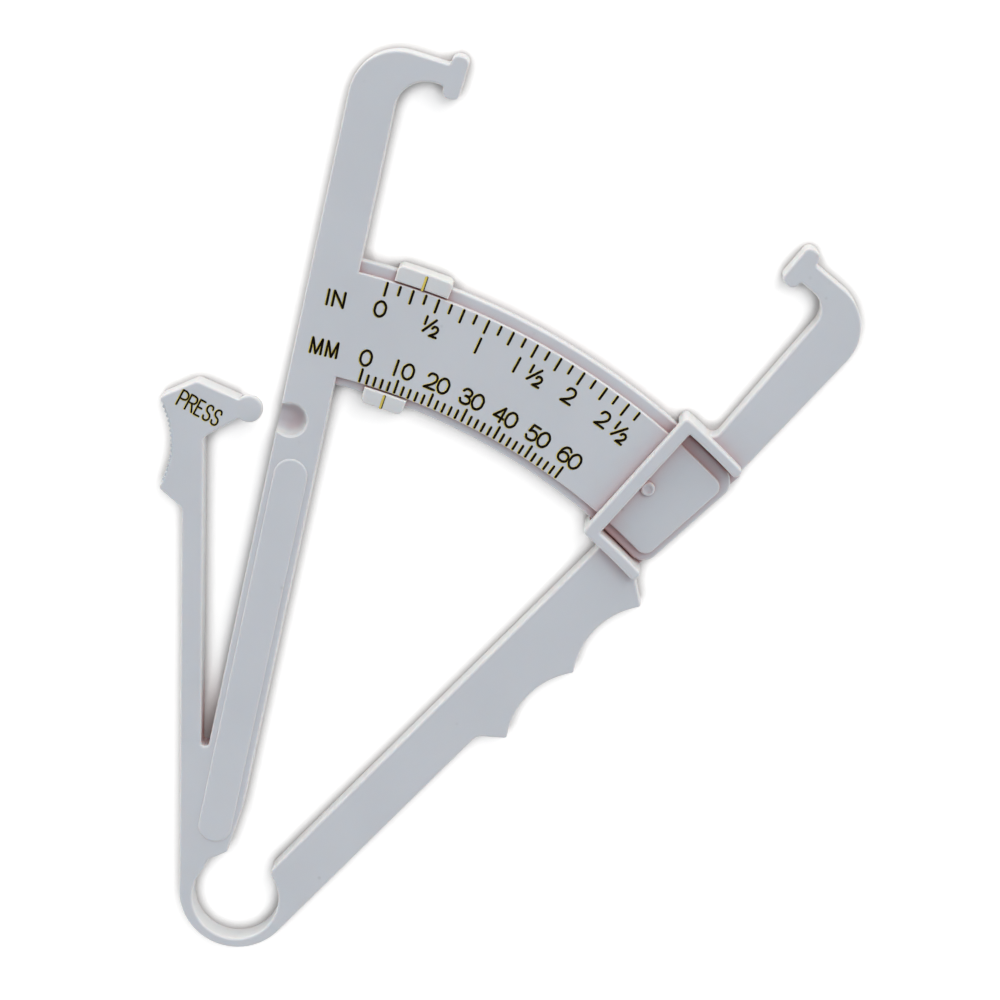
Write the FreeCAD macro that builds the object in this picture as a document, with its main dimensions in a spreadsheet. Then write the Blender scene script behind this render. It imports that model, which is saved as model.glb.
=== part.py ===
"""Skinfold caliper: a one-piece plastic moulding that flexes, and a cursor that slides on its scale plate.

The caliper lies on its back: +X to the right, +Y up along the arms, +Z out of the printed front. The
origin is the centre of the hanging hole in the hinge ring, in the plane of the back. Lengths are in
millimetres and angles in degrees. The scale plate, the guide, both jaws and the cursor share one centre,
the pivot, about which the grip arm swings when the hinge ring flexes.
"""
import FreeCAD, Part
import math
import os

import Sketcher

doc = FreeCAD.newDocument("skinfold_caliper")

SIZES = [
    # name, value, what it is
    ("thickness", 5.8, "thickness of the moulding"),
    ("pivot_x", -8.52, "X of the pivot that the scale is drawn about"),
    ("pivot_y", -12.11, "Y of the pivot"),
    # hinge ring
    ("hole_radius", 8.2, "radius of the hanging hole inside the hinge ring"),
    ("ring_radius", 10.86, "outer radius of the hinge ring"),
    ("ring_shift_x", 0.21, "X of the ring's outer circle"),
    ("ring_shift_y", 0.90, "Y of the ring's outer circle"),
    # scale arm, measured in a frame at the origin that points along the arm
    ("arm_direction", 76.9, "direction of the scale arm"),
    ("arm_offset", 2.25, "from the arm's axis line to the arm's right edge"),
    ("arm_width", 8.75, "width of the scale arm"),
    ("arm_length", 150.0, "from the origin to the foot of the upper jaw"),
    ("foot_angle", 108.0, "direction in which the foot leaves the hanging hole"),
    ("foot_start", 9.3, "how far up the foot's rounded tip is"),
    ("foot_relief", 1.05, "how far the foot's right edge draws in at its tip"),
    ("foot_taper", 13.0, "length over which the foot's right edge draws in"),
    ("foot_corner", 1.1, "rounding of the foot's tip"),
    ("panel_start", 13.25, "centre of the raised panel's lower round end"),
    ("panel_end", 82.83, "centre of the raised panel's upper round end"),
    ("panel_radius", 3.2, "radius of the panel's round ends"),
    ("panel_depth", 0.3, "how far the raised panel stands out of the arm"),
    ("dish_distance", 93.09, "from the origin to the dish, along the arm"),
    ("dish_inset", 2.2, "from the arm's left edge to the dish's centre"),
    ("dish_radius", 2.92, "radius of the dish"),
    ("dish_depth", 3.2, "depth of the dish"),
    ("dish_mouth", 5.5, "width of the dish's mouth at the arm's left edge"),
    # thumb lever, measured in a frame at the ring's left side that points along the stem
    ("stem_direction", 11.1, "how far the lever's stem leans out from the scale arm"),
    ("stem_width", 3.95, "width of the stem"),
    ("slot_bottom", 29.3, "from the stem's root to the bottom of the slot beside it"),
    ("slot_width", 1.34, "gap between the scale arm and the stem at the slot's bottom"),
    ("slot_corner", 0.6, "rounding of the slot's bottom"),
    ("stub_length", 1.1, "length of the stem's stiff stub above the slot's bottom"),
    ("flexure_length", 11.4, "length of the part of the stem that flexes"),
    ("head_start", 19.04, "from the ball back to where the thumb rest begins, along the stem"),
    ("head_end", 1.66, "from the ball on to where the thumb rest ends, along the stem"),
    ("head_chamfer", 3.7, "length of the slope below the thumb rest"),
    ("head_lip", 4.35, "how far the thumb rest's corners stand out from the stem"),
    ("thumb_hollow", 2.35, "depth of the hollow in the thumb rest"),
    ("head_corner", 0.7, "rounding of the head's corners"),
    ("head_root_corner", 1.2, "rounding where the head leaves the stem"),
    ("apex_height", 5.51, "from the ball on to the head's top corner, along the stem"),
    ("apex_offset", 2.7, "distance of the head's top corner from the stem's left edge"),
    ("nose_root", 5.64, "from the ball back to where the nose leaves the stem, along the stem"),
    ("ball_height", 0.22, "how far past the dish's centre the ball lies, along the scale arm"),
    ("ball_offset", 5.66, "from the scale arm's left edge out to the ball"),
    ("ball_radius", 2.55, "radius of the ball at the tip of the nose"),
    ("ball_neck", 1.7, "half the width of the nose where it meets the ball"),
    ("ball_height_gap", 0.25, "height between the ball and the bottom of the dish"),
    # jaws, measured in frames at the pivot that point along each jaw's face
    ("upper_jaw_direction", 4.74, "angle from the upper jaw's face up to the scale arm"),
    ("lower_jaw_direction", 1.3, "angle from the guide's closed side up to the lower jaw's face"),
    ("pad_start", 8.12, "from the upper jaw's root to the near end of a jaw's pad"),
    ("pad_length", 8.1, "length of a jaw's pad"),
    ("pad_thickness", 3.25, "thickness of a jaw's pad"),
    ("pad_corner", 1.35, "rounding of the pad's ends"),
    ("neck_start", 10.12, "from the upper jaw's root to the near side of a jaw's neck"),
    ("neck_width", 4.0, "width of a jaw's neck"),
    ("neck_corner", 0.55, "rounding between the neck and the pad"),
    ("hook_radius", 9.2, "outer radius of both hooks"),
    ("upper_throat_radius", 5.8, "inner radius of the upper hook"),
    ("lower_throat_radius", 4.0, "inner radius of the lower hook"),
    # scale plate, measured about the pivot
    ("plate_inner", 116.65, "inner radius of the printed face"),
    ("plate_outer", 19.75, "from the printed face's inner edge out to its outer edge"),
    ("plate_end", 14.4, "from the guide's closed side to the plate's free end, along its outer edge"),
    ("plate_corner", 2.0, "rounding of the printed face's free corners"),
    ("plate_step", 1.3, "height of the printed face above the flange"),
    ("flange_inner", 1.75, "width of the ledge along the inner edge"),
    ("flange_outer", 2.2, "width of the ledge along the outer edge"),
    ("flange_end", 1.3, "width of the ledge at the free end"),
    ("flange_corner", 3.2, "rounding of the flange's free corners"),
    ("stop_distance", 9.67, "from the printed face's inner edge to the stop boss"),
    ("stop_radius", 1.3, "radius of the stop boss"),
    ("stop_height", 0.9, "height of the stop boss"),
    ("stop_dimple", 0.75, "radius of the dimple in the stop boss"),
    ("stop_gap", 0.05, "gap between the open guide's bar and the stop boss"),
    # grip arm, measured in a frame at the origin that points along the arm
    ("grip_direction", 3.05, "angle from the grip arm up to the guide's closed side"),
    ("grip_width", 9.25, "width of the grip arm"),
    ("grip_corner", 1.5, "rounding of the grip arm's inner corner at the hole"),
    ("rest_start", 55.3, "where the finger rest begins, along the arm"),
    ("rest_slope", 3.7, "length of the slope up to the first cusp"),
    ("rest_height", 4.3, "height of the cusps above the arm's outer edge"),
    ("scallop_pitch", 17.9, "from one cusp to the next"),
    ("scallop_depth", 2.95, "depth of a scallop below its cusps"),
    ("cusp_corner", 0.5, "rounding of the cusps"),
    # guide around the plate
    ("bar_direction", 48.45, "direction of the guide's closed side"),
    ("bar_width", 2.6, "width of the front bar"),
    ("guide_height", 8.6, "height of the guide's bar and walls"),
    ("guide_lower_thickness", 2.1, "thickness of the guide's lower wall"),
    ("guide_upper_thickness", 2.0, "thickness of the guide's upper wall"),
    ("guide_lower_end", 13.5, "length of the lower wall, along its outer edge"),
    ("guide_upper_end", 14.67, "length of the upper wall, along its outer edge"),
    ("guide_corner", 0.75, "rounding of the walls' free ends and of the guide's outer corners"),
    ("floor_thickness", 1.4, "thickness of the guide's floor"),
    ("floor_start", 4.98, "from the guide's closed side to the floor, along the floor's outer edge"),
    ("floor_end", 15.92, "from the guide's closed side to the floor's far end, along its outer edge"),
    ("slide_gap", 0.2, "height between the plate and the guide or the cursor"),
    ("guide_play", 0.3, "play between the plate's lower edge and the guide"),
    ("guide_upper_play", 0.7, "play between the plate's upper edge and the guide"),
    # jaw arm, in the lower jaw's frame
    ("jaw_arm_inset", 10.2, "from the face's line to the jaw arm's inner edge"),
    ("jaw_arm_base_width", 7.75, "width of the jaw arm at the guide"),
    ("jaw_arm_tip_width", 8.85, "width of the jaw arm at the lower jaw"),
    ("jaw_arm_end", 8.2, "from the lower jaw's root to the near side of its neck"),
    ("jaw_arm_fillet", 1.4, "rounding between the guide and the jaw arm"),
    # cursor
    ("cursor_direction", 6.33, "angle from the cursor's pointers up to the scale arm"),
    ("cursor_play", 0.3, "play between the cursor and the plate's edges"),
    ("cursor_upper_wall", 0.95, "thickness of the cursor's upper side"),
    ("cursor_lower_wall", 1.3, "thickness of the cursor's lower side"),
    ("cursor_tab_gap", 0.35, "gap between the cursor's tabs and the printed face"),
    ("cursor_tab_top", 6.0, "height of the cursor's front"),
    ("cursor_back", 0.2, "height of the cursor's back above the table"),
    ("cursor_upper_width", 10.6, "width of the cursor's upper tab"),
    ("cursor_lower_width", 7.8, "width of the cursor's lower tab"),
    ("cursor_corner", 0.9, "rounding of the tabs' outer corners"),
]

dims = doc.addObject("Spreadsheet::Sheet", "dims")
for row, (alias, value, meaning) in enumerate(SIZES, start=1):
    dims.set("A%d" % row, meaning)
    dims.set("B%d" % row, str(value))
    dims.setAlias("B%d" % row, alias)
doc.recompute()


def size(alias):
    """A driving dimension's value."""
    return float(getattr(dims, alias))


def vector(along, across, up=0.0):
    """A point in a sketch's plane."""
    return FreeCAD.Vector(along, across, up)


class Frame:
    """An upright frame: an origin in the table's plane and the direction of its first axis."""

    def __init__(self, x, y, x_expression, y_expression, direction):
        self.origin = vector(x, y)
        self.expressions = (x_expression, y_expression)
        self.direction = direction

    def to_world(self, point):
        """The point in the model's own axes."""
        c, s = math.cos(math.radians(self.direction)), math.sin(math.radians(self.direction))
        return self.origin + vector(point.x * c - point.y * s, point.x * s + point.y * c)

    def to_local(self, point):
        """A point of the model, in this frame."""
        c, s = math.cos(math.radians(self.direction)), math.sin(math.radians(self.direction))
        delta = point - self.origin
        return vector(delta.x * c + delta.y * s, -delta.x * s + delta.y * c)

    def place(self, item):
        """Set an object's Placement to this frame, its origin bound to the sheet."""
        item.Placement = FreeCAD.Placement(self.origin, FreeCAD.Rotation(vector(0, 0, 1), self.direction))
        for axis, expression in zip("xy", self.expressions):
            if expression:
                item.setExpression("Placement.Base." + axis, expression)


def frame_at_origin(direction):
    """A frame at the centre of the hanging hole."""
    return Frame(0.0, 0.0, "", "", direction)


def frame_at_pivot(direction):
    """A frame at the pivot."""
    return Frame(size("pivot_x"), size("pivot_y"), "dims.pivot_x", "dims.pivot_y", direction)


def spread(length, radius):
    """The angle that a length spans along a circle."""
    return math.degrees(length / radius)


def stem_frame():
    """The stem's frame: level with the ring's left side, and clear of the scale arm by the slot's width."""
    lean = math.radians(size("stem_direction"))
    along = ARM.to_local(RING_LEFT).x
    right_edge = ARM_LEFT + size("slot_width") - size("slot_bottom") * math.sin(lean)
    root = ARM.to_world(vector(along, right_edge + size("stem_width") * math.cos(lean)))
    return Frame(root.x, root.y, "", "", ARM.direction + size("stem_direction"))


HALF_TURN = 180.0
THREE_QUARTER_TURN = 270.0

ARM_LEFT = size("arm_offset") + size("arm_width")
FACE_OUTER = size("plate_inner") + size("plate_outer")
RING_LEFT = vector(size("ring_shift_x") - size("ring_radius"), size("ring_shift_y"))

ARM = frame_at_origin(size("arm_direction"))
GRIP = frame_at_origin(size("bar_direction") - size("grip_direction"))
HOLE = frame_at_origin(0.0)
UPPER_JAW = frame_at_pivot(ARM.direction - size("upper_jaw_direction"))
LOWER_JAW = frame_at_pivot(size("bar_direction") + size("lower_jaw_direction"))
PLATE = frame_at_pivot(size("bar_direction") - spread(size("plate_end"), FACE_OUTER))
GUIDE = frame_at_pivot(size("bar_direction"))
CURSOR = frame_at_pivot(ARM.direction - size("cursor_direction"))
STEM = stem_frame()

FLANGE_LOW = size("floor_thickness") + size("slide_gap")
FACE_LOW = size("thickness") - size("plate_step")
FLANGE_INNER = size("plate_inner") - size("flange_inner")
FLANGE_OUTER = FACE_OUTER + size("flange_outer")
WALL_LOWER_OUT = FLANGE_INNER - size("guide_play") - size("guide_lower_thickness")
WALL_LOWER_IN = FLANGE_INNER - size("guide_play")
WALL_UPPER_IN = FLANGE_OUTER + size("guide_upper_play")
WALL_UPPER_OUT = WALL_UPPER_IN + size("guide_upper_thickness")


def polar(radius, direction, centre=None):
    """A point by its radius and direction, about a centre."""
    angle = math.radians(direction)
    point = vector(radius * math.cos(angle), radius * math.sin(angle))
    return point if centre is None else point + centre


def crossing(p, q, r, t):
    """Where the line through p and q crosses the line through r and t."""
    a, b = q - p, t - r
    share = ((r.x - p.x) * b.y - (r.y - p.y) * b.x) / (a.x * b.y - a.y * b.x)
    return p + a * share


def on_circle(p, q, radius, centre=None):
    """Where the line from p through q meets a circle ahead of p, at the crossing nearest q."""
    centre = centre or vector(0, 0)
    along = (q - p).normalize()
    foot = p + along * (centre - p).dot(along)
    half = math.sqrt(radius ** 2 - (foot - centre).Length ** 2)
    ends = (foot + along * half, foot - along * half)
    return min(ends, key=lambda end: (end - q).Length)


class Outline:
    """A closed chain of straight and round edges, with the corners that are to be rounded."""

    def __init__(self, start, corner=None):
        self.first = self.last = start
        self.edges = []
        self.corners = []
        self.room = {}
        if corner:
            self.corners.append((start, corner))

    def to(self, point, corner=None):
        """A straight edge to a point, whose corner may be rounded by a named radius."""
        self.edges.append(Part.LineSegment(self.last, point))
        self.last = point
        if corner:
            self.corners.append((point, corner))
        return self

    def through(self, middle, point, corner=None):
        """A round edge through a point, to a point."""
        self.edges.append(Part.Arc(self.last, middle, point))
        self.last = point
        if corner:
            self.corners.append((point, corner))
        return self

    def around(self, centre, point, corner=None):
        """A round edge about a centre, the short way round to a point."""
        middle = (self.last + point) * 0.5 - centre
        radius = (self.last - centre).Length
        return self.through(centre + middle.normalize() * radius, point, corner)

    def close(self):
        """The last straight edge, back to the start."""
        self.edges.append(Part.LineSegment(self.last, self.first))
        self.last = self.first
        return self


def add_sketch(body, name, outlines, height=None):
    """A sketch on the body's XY plane, or at a height above it that the sheet gives."""
    sketch = body.newObject("Sketcher::SketchObject", name)
    plane = [item for item in body.Origin.OriginFeatures if item.Role == "XY_Plane"][0]
    sketch.AttachmentSupport = [(plane, "")]
    sketch.MapMode = "FlatFace"
    if height:
        sketch.setExpression("AttachmentOffset.Base.z", height)
    for outline in outlines:
        for edge in outline.edges:
            sketch.addGeometry(edge, False)
    return sketch


def upright_edges(shape, point):
    """The names of the shape's upright edges that stand on a point."""
    names = []
    for number, edge in enumerate(shape.Edges, start=1):
        ends = [vertex.Point for vertex in edge.Vertexes]
        if len(ends) == 2 and all(math.hypot(end.x - point.x, end.y - point.y) < 1e-4 for end in ends):
            names.append("Edge%d" % number)
    return names


def round_corners(body, feature, corners, room):
    """Round the body's upright corners by named radii, limited by the wall where its room is given."""
    for alias in sorted(set(alias for _, alias in corners)):
        doc.recompute()
        names = []
        for point, its_alias in corners:
            if its_alias == alias:
                names += upright_edges(feature.Shape, point)
        fillet = body.newObject("PartDesign::Fillet", body.Name + "_" + alias)
        fillet.Base = (feature, names)
        radius = "dims." + alias
        if alias in room:
            radius = "min(%s; %f)" % (radius, room[alias])
        fillet.setExpression("Radius", radius)
        feature = fillet
    return feature


def add_body(name, frame, outline, height, low=None):
    """A sub-part: its outline padded to a height, from a level, with its corners rounded."""
    body = doc.addObject("PartDesign::Body", name)
    body.Label = name
    frame.place(body)
    sketch = add_sketch(body, name + "_outline", [outline], low)
    pad = body.newObject("PartDesign::Pad", name + "_pad")
    pad.Profile = sketch
    pad.setExpression("Length", height)
    sketch.Visibility = False
    doc.recompute()
    round_corners(body, pad, outline.corners, outline.room)
    doc.recompute()
    return body


def add_pocket(body, name, outlines, depth, top="dims.thickness"):
    """A pocket of a named depth, cut down from the front."""
    before = body.Shape.Volume
    sketch = add_sketch(body, name + "_outline", outlines, top)
    pocket = body.newObject("PartDesign::Pocket", name)
    pocket.Profile = sketch
    pocket.setExpression("Length", depth)
    sketch.Visibility = False
    doc.recompute()
    if body.Shape.Volume >= before:
        raise RuntimeError(name + " cuts nothing")
    return pocket


def add_raised(body, name, outline, height, low="dims.thickness"):
    """A step of a named height, raised from the front."""
    before = body.Shape.Volume
    sketch = add_sketch(body, name + "_outline", [outline], low)
    pad = body.newObject("PartDesign::Pad", name)
    pad.Profile = sketch
    pad.setExpression("Length", height)
    sketch.Visibility = False
    doc.recompute()
    if body.Shape.Volume <= before:
        raise RuntimeError(name + " adds nothing")
    return pad


def stadium(start, end, radius):
    """A long rounded outline between two centres on a line along the first axis."""
    outline = Outline(start + vector(0, -radius))
    outline.to(end + vector(0, -radius))
    outline.through(end + vector(radius, 0), end + vector(0, radius))
    outline.to(start + vector(0, radius))
    outline.through(start + vector(-radius, 0), start + vector(0, -radius))
    return outline


# --- scale arm ---

def ring_centre():
    """The centre of the hinge ring's outer circle."""
    return vector(size("ring_shift_x"), size("ring_shift_y"))


def stem_point(along, across):
    """A point of the model by its distance along the stem and from the stem's left edge."""
    return STEM.to_world(vector(along, -across))


def build_scale_arm():
    """The straight arm with its foot on the hinge ring, its raised panel and its dish."""
    hole = size("hole_radius")
    level = size("ring_shift_y")
    right, left = size("arm_offset"), ARM_LEFT
    ring_left = ARM.to_local(RING_LEFT)
    hole_left = ARM.to_local(vector(-math.sqrt(hole ** 2 - level ** 2), level))
    foot_leaves = ARM.to_local(polar(hole, size("foot_angle")))
    foot_tip = vector(size("foot_start"), right + size("foot_relief"))
    stub_top = size("slot_bottom") + size("stub_length")
    stem_left = ARM.to_local(stem_point(stub_top, 0))
    stem_right = ARM.to_local(stem_point(stub_top, size("stem_width")))
    slot_left = ARM.to_local(stem_point(size("slot_bottom"), size("stem_width")))
    slot_beside = ARM.to_local(stem_point(size("slot_bottom"), 0))
    slot_right = crossing(slot_beside, slot_left, vector(0, left), vector(1, left))

    outline = Outline(ring_left)
    outline.to(hole_left)
    outline.around(vector(0, 0), foot_leaves)
    outline.to(foot_tip, "foot_corner")
    outline.to(vector(foot_tip.x + size("foot_taper"), right))
    outline.to(vector(size("arm_length"), right))
    outline.to(vector(size("arm_length"), left))
    outline.to(slot_right, "slot_corner")
    outline.to(slot_left, "slot_corner")
    outline.to(stem_right)
    outline.to(stem_left)
    outline.close()
    arm = add_body("scale_arm", ARM, outline, "dims.thickness")

    middle = (right + left) / 2
    ends = (vector(size("panel_start"), middle), vector(size("panel_end"), middle))
    panel = stadium(*ends, size("panel_radius"))
    add_raised(arm, "panel", panel, "dims.panel_depth")
    add_pocket(arm, "dish", [dish_outline()], "dims.dish_depth")
    return arm


def dish_centre():
    """The centre of the dish, in the arm's frame."""
    return vector(size("dish_distance"), ARM_LEFT - size("dish_inset"))


def dish_outline():
    """The dish: a round floor that opens through the arm's left edge by a mouth."""
    centre, radius, half = dish_centre(), size("dish_radius"), size("dish_mouth") / 2
    inset = math.sqrt(radius ** 2 - half ** 2)
    beyond = 2 * size("dish_inset")
    outline = Outline(centre + vector(-half, inset))
    outline.through(centre + vector(0, -radius), centre + vector(half, inset))
    outline.to(centre + vector(half, beyond))
    outline.to(centre + vector(-half, beyond))
    return outline.close()


# --- jaws ---

def jaw_reach():
    """The upper jaw's root: how far from the pivot the scale arm's end lies, along the jaw's face."""
    middle = (size("arm_offset") + ARM_LEFT) / 2
    return UPPER_JAW.to_local(ARM.to_world(vector(size("arm_length"), middle))).x


def jaw_outline(inner_base, inner_line, outer_base, outer_line, side, throat):
    """A hook that ends in a T-shaped pad, whose face lies on the frame's first axis.

    side is +1 for a jaw whose hook lies to the left of its face and -1 for one to the right.
    """
    pad_near = jaw_reach() + size("pad_start")
    neck_near = jaw_reach() + size("neck_start")
    pad_far, neck_far = pad_near + size("pad_length"), neck_near + size("neck_width")
    back = side * size("pad_thickness")
    near_line = (vector(neck_near, 0), vector(neck_near, 1))
    far_line = (vector(neck_far, 0), vector(neck_far, 1))

    outline = Outline(outer_base)
    outline.to(inner_base)
    throat_corner = crossing(inner_base, inner_line, *near_line)
    along = inner_line - inner_base
    turn = math.pi / 2 + abs(math.atan2(along.y, along.x))
    straight = abs(throat_corner.y - back) - 2 * size("neck_corner")
    outline.room[throat] = straight / math.tan(turn / 2)
    outline.to(throat_corner, throat)
    outline.to(vector(neck_near, back), "neck_corner")
    outline.to(vector(pad_near, back), "pad_corner")
    outline.to(vector(pad_near, 0), "pad_corner")
    outline.to(vector(pad_far, 0), "pad_corner")
    outline.to(vector(pad_far, back), "pad_corner")
    outline.to(vector(neck_far, back), "neck_corner")
    outline.to(crossing(outer_base, outer_line, *far_line), "hook_radius")
    return outline.close()


def build_upper_jaw():
    """The hook at the top of the scale arm."""
    end, right, left = size("arm_length"), size("arm_offset"), ARM_LEFT
    inner, inner_on = (UPPER_JAW.to_local(ARM.to_world(vector(u, right))) for u in (end, 2 * end))
    outer, outer_on = (UPPER_JAW.to_local(ARM.to_world(vector(u, left))) for u in (end, 2 * end))
    outline = jaw_outline(inner, inner_on, outer, outer_on, 1, "upper_throat_radius")
    return add_body("upper_jaw", UPPER_JAW, outline, "dims.thickness")


def jaw_arm_corners():
    """The jaw arm's four corners in the lower jaw's frame: inner and outer, at the guide and at the jaw."""
    inner, end = -size("jaw_arm_inset"), jaw_reach() + size("neck_start") - size("jaw_arm_end")
    inner_tip = vector(end, inner)
    outer_tip = vector(end, inner - size("jaw_arm_tip_width"))
    inner_base = on_circle(vector(0, inner), inner_tip, WALL_UPPER_OUT)
    outer_base = vector(inner_base.x, inner - size("jaw_arm_base_width"))
    outer_base = on_circle(outer_tip, outer_base, WALL_UPPER_OUT)
    return inner_base, inner_tip, outer_tip, outer_base


def build_lower_jaw():
    """The hook at the end of the jaw arm."""
    inner_base, inner_tip, outer_tip, outer_base = jaw_arm_corners()
    ahead = outer_tip + (outer_tip - outer_base)
    outline = jaw_outline(inner_tip, inner_tip + vector(1, 0), outer_tip, ahead, -1, "lower_throat_radius")
    return add_body("lower_jaw", LOWER_JAW, outline, "dims.thickness")


def build_jaw_arm():
    """The arm between the guide and the lower jaw, with a round root on the guide's wall."""
    inner_base, inner_tip, outer_tip, outer_base = jaw_arm_corners()
    root = size("jaw_arm_fillet")
    radius = WALL_UPPER_OUT + root
    touch = math.degrees(math.asin((inner_base.y + root) / radius))
    centre = polar(radius, touch)
    outline = Outline(outer_base)
    outline.to(outer_tip)
    outline.to(inner_tip)
    outline.to(vector(centre.x, inner_base.y))
    outline.around(centre, polar(WALL_UPPER_OUT, touch))
    outline.around(vector(0, 0), outer_base)
    return add_body("jaw_arm", LOWER_JAW, outline, "dims.thickness")


# --- scale plate ---

def plate_outline(inner, outer, beyond, corner):
    """A curved strip from the scale arm's right edge to its free end, in the plate's frame."""
    edge = [PLATE.to_local(ARM.to_world(vector(u, size("arm_offset")))) for u in (0, size("arm_length"))]
    centre = vector(0, 0)
    outline = Outline(on_circle(edge[0], edge[1], inner))
    start_inner = vector(math.sqrt(inner ** 2 - beyond ** 2), -beyond)
    start_outer = vector(math.sqrt(outer ** 2 - beyond ** 2), -beyond)
    outline.around(centre, start_inner, corner)
    outline.to(start_outer, corner)
    outline.around(centre, on_circle(edge[0], edge[1], outer))
    return outline.close()


def build_plate():
    """The raised printed face and the wider flange behind it, whose ledges guide the cursor."""
    face = plate_outline(size("plate_inner"), FACE_OUTER, 0.0, "plate_corner")
    add_body("scale_plate", PLATE, face, "dims.plate_step", "dims.thickness - dims.plate_step")
    flange = plate_outline(FLANGE_INNER, FLANGE_OUTER, size("flange_end"), "flange_corner")
    low = "dims.floor_thickness + dims.slide_gap"
    add_body("plate_flange", PLATE, flange, "dims.thickness - dims.plate_step - (%s)" % low, low)


def build_stop_boss():
    """The small dimpled boss that the guide's bar rests against when the caliper is open."""
    boss = doc.addObject("Part::Cylinder", "stop_cylinder")
    boss.setExpression("Radius", "dims.stop_radius")
    boss.setExpression("Height", "dims.stop_height")
    dimple = doc.addObject("Part::Cone", "stop_dimple_cone")
    dimple.setExpression("Radius1", "dims.stop_dimple / 2")
    dimple.setExpression("Radius2", "dims.stop_dimple")
    dimple.setExpression("Height", "dims.stop_height / 2")
    dimple.setExpression("Placement.Base.z", "dims.stop_height / 2")
    cut = doc.addObject("Part::Cut", "stop_boss")
    cut.Label = "stop_boss"
    cut.Base, cut.Tool = boss, dimple
    across = size("bar_width") + size("stop_gap") + size("stop_radius")
    along = math.sqrt((size("plate_inner") + size("stop_distance")) ** 2 - across ** 2)
    place = GUIDE.to_world(vector(along, -across))
    cut.Placement = FreeCAD.Placement(vector(place.x, place.y, size("thickness")), FreeCAD.Rotation())
    doc.recompute()
    return cut


# --- hinge ring and grip arm ---

def build_hinge_ring():
    """The open ring that joins the two arms, from the foot's left side round to the grip arm's root."""
    centre = ring_centre()
    hole, outer, level = size("hole_radius"), size("ring_radius"), size("ring_shift_y")
    root = GRIP.to_local(centre)
    inner_root = GRIP.to_world(vector(root.x, -math.sqrt(hole ** 2 - root.x ** 2)))
    outer_root = GRIP.to_world(root - vector(0, outer))
    middle = (HALF_TURN + GRIP.direction + THREE_QUARTER_TURN) / 2
    outline = Outline(vector(-math.sqrt(hole ** 2 - level ** 2), level))
    outline.to(centre - vector(outer, 0))
    outline.through(polar(outer, middle, centre), outer_root)
    outline.to(inner_root)
    outline.through(polar(hole, middle), outline.first)
    return add_body("hinge_ring", HOLE, outline, "dims.thickness")


def grip_lines():
    """The distances of the grip arm's outer and inner edges from its axis line."""
    outer = GRIP.to_local(ring_centre()).y - size("ring_radius")
    return outer, outer + size("grip_width")


def build_grip_arm():
    """The straight arm from the hinge ring to the guide's lower wall."""
    outer, inner = grip_lines()
    hole, reach = size("hole_radius"), size("rest_start")
    root = GRIP.to_local(ring_centre())
    centre = GRIP.to_local(PLATE.origin)
    far_outer = on_circle(vector(0, outer), vector(2 * reach, outer), WALL_LOWER_OUT, centre)
    far_inner = on_circle(vector(0, inner), vector(2 * reach, inner), WALL_LOWER_OUT, centre)
    outline = Outline(vector(root.x, -math.sqrt(hole ** 2 - root.x ** 2)))
    outline.to(vector(root.x, outer))
    outline.to(far_outer)
    outline.around(centre, far_inner)
    outline.to(vector(math.sqrt(hole ** 2 - inner ** 2), inner), "grip_corner")
    outline.around(vector(0, 0), outline.first)
    return add_body("grip_arm", GRIP, outline, "dims.thickness")


def build_finger_rest():
    """The finger rest under the grip arm: a slope, two scallops and a short end."""
    outer, _ = grip_lines()
    centre = GRIP.to_local(PLATE.origin)
    start, pitch, depth = size("rest_start"), size("scallop_pitch"), size("scallop_depth")
    cusp_line = outer - size("rest_height")
    end = on_circle(vector(0, outer), vector(2 * start, outer), WALL_LOWER_OUT, centre)
    first = vector(start + size("rest_slope"), cusp_line)
    outline = Outline(vector(start, outer))
    outline.to(first, "cusp_corner")
    for number in (1, 2):
        cusp = first + vector(number * pitch, 0)
        hollow = cusp + vector(-pitch / 2, depth)
        outline.through(hollow, cusp, "cusp_corner")
    outline.to(end)
    outline.close()
    return add_body("finger_rest", GRIP, outline, "dims.thickness")


# --- guide ---

def sector(inner, outer, far_end, near_end, end_corner=None, inner_corner=None, outer_corner=None):
    """A curved strip about the pivot, its ends given as lengths along its outer edge."""
    low, high = -spread(far_end, outer), -spread(near_end, outer)
    outline = Outline(polar(inner, high), inner_corner)
    outline.around(vector(0, 0), polar(inner, low), end_corner)
    outline.to(polar(outer, low), end_corner)
    outline.around(vector(0, 0), polar(outer, high), outer_corner)
    return outline.close()


def build_guide():
    """The frame that wraps the plate: two walls, a bar in front and a floor behind."""
    corner = "guide_corner"
    lower = sector(WALL_LOWER_OUT, WALL_LOWER_IN, size("guide_lower_end"), 0.0, corner, corner)
    add_body("guide_lower_wall", GUIDE, lower, "dims.guide_height")
    upper = sector(WALL_UPPER_IN, WALL_UPPER_OUT, size("guide_upper_end"), 0.0, corner, None, corner)
    add_body("guide_upper_wall", GUIDE, upper, "dims.guide_height")
    floor = sector(WALL_LOWER_IN, WALL_UPPER_IN, size("floor_end"), size("floor_start"))
    add_body("guide_floor", GUIDE, floor, "dims.floor_thickness")

    width = size("bar_width")
    bar = Outline(vector(WALL_LOWER_IN, 0))
    bar.around(vector(0, 0), vector(math.sqrt(WALL_LOWER_IN ** 2 - width ** 2), -width))
    bar.to(vector(math.sqrt(WALL_UPPER_IN ** 2 - width ** 2), -width))
    bar.around(vector(0, 0), vector(WALL_UPPER_IN, 0))
    bar.close()
    add_body("guide_bar", GUIDE, bar, "dims.guide_height - dims.thickness - dims.slide_gap",
             "dims.thickness + dims.slide_gap")


# --- thumb lever ---

def stem_length(low, high, width):
    """The outline of a length of the stem."""
    outline = Outline(vector(low, 0)).to(vector(low, -width))
    return outline.to(vector(high, -width)).to(vector(high, 0)).close()


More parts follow.
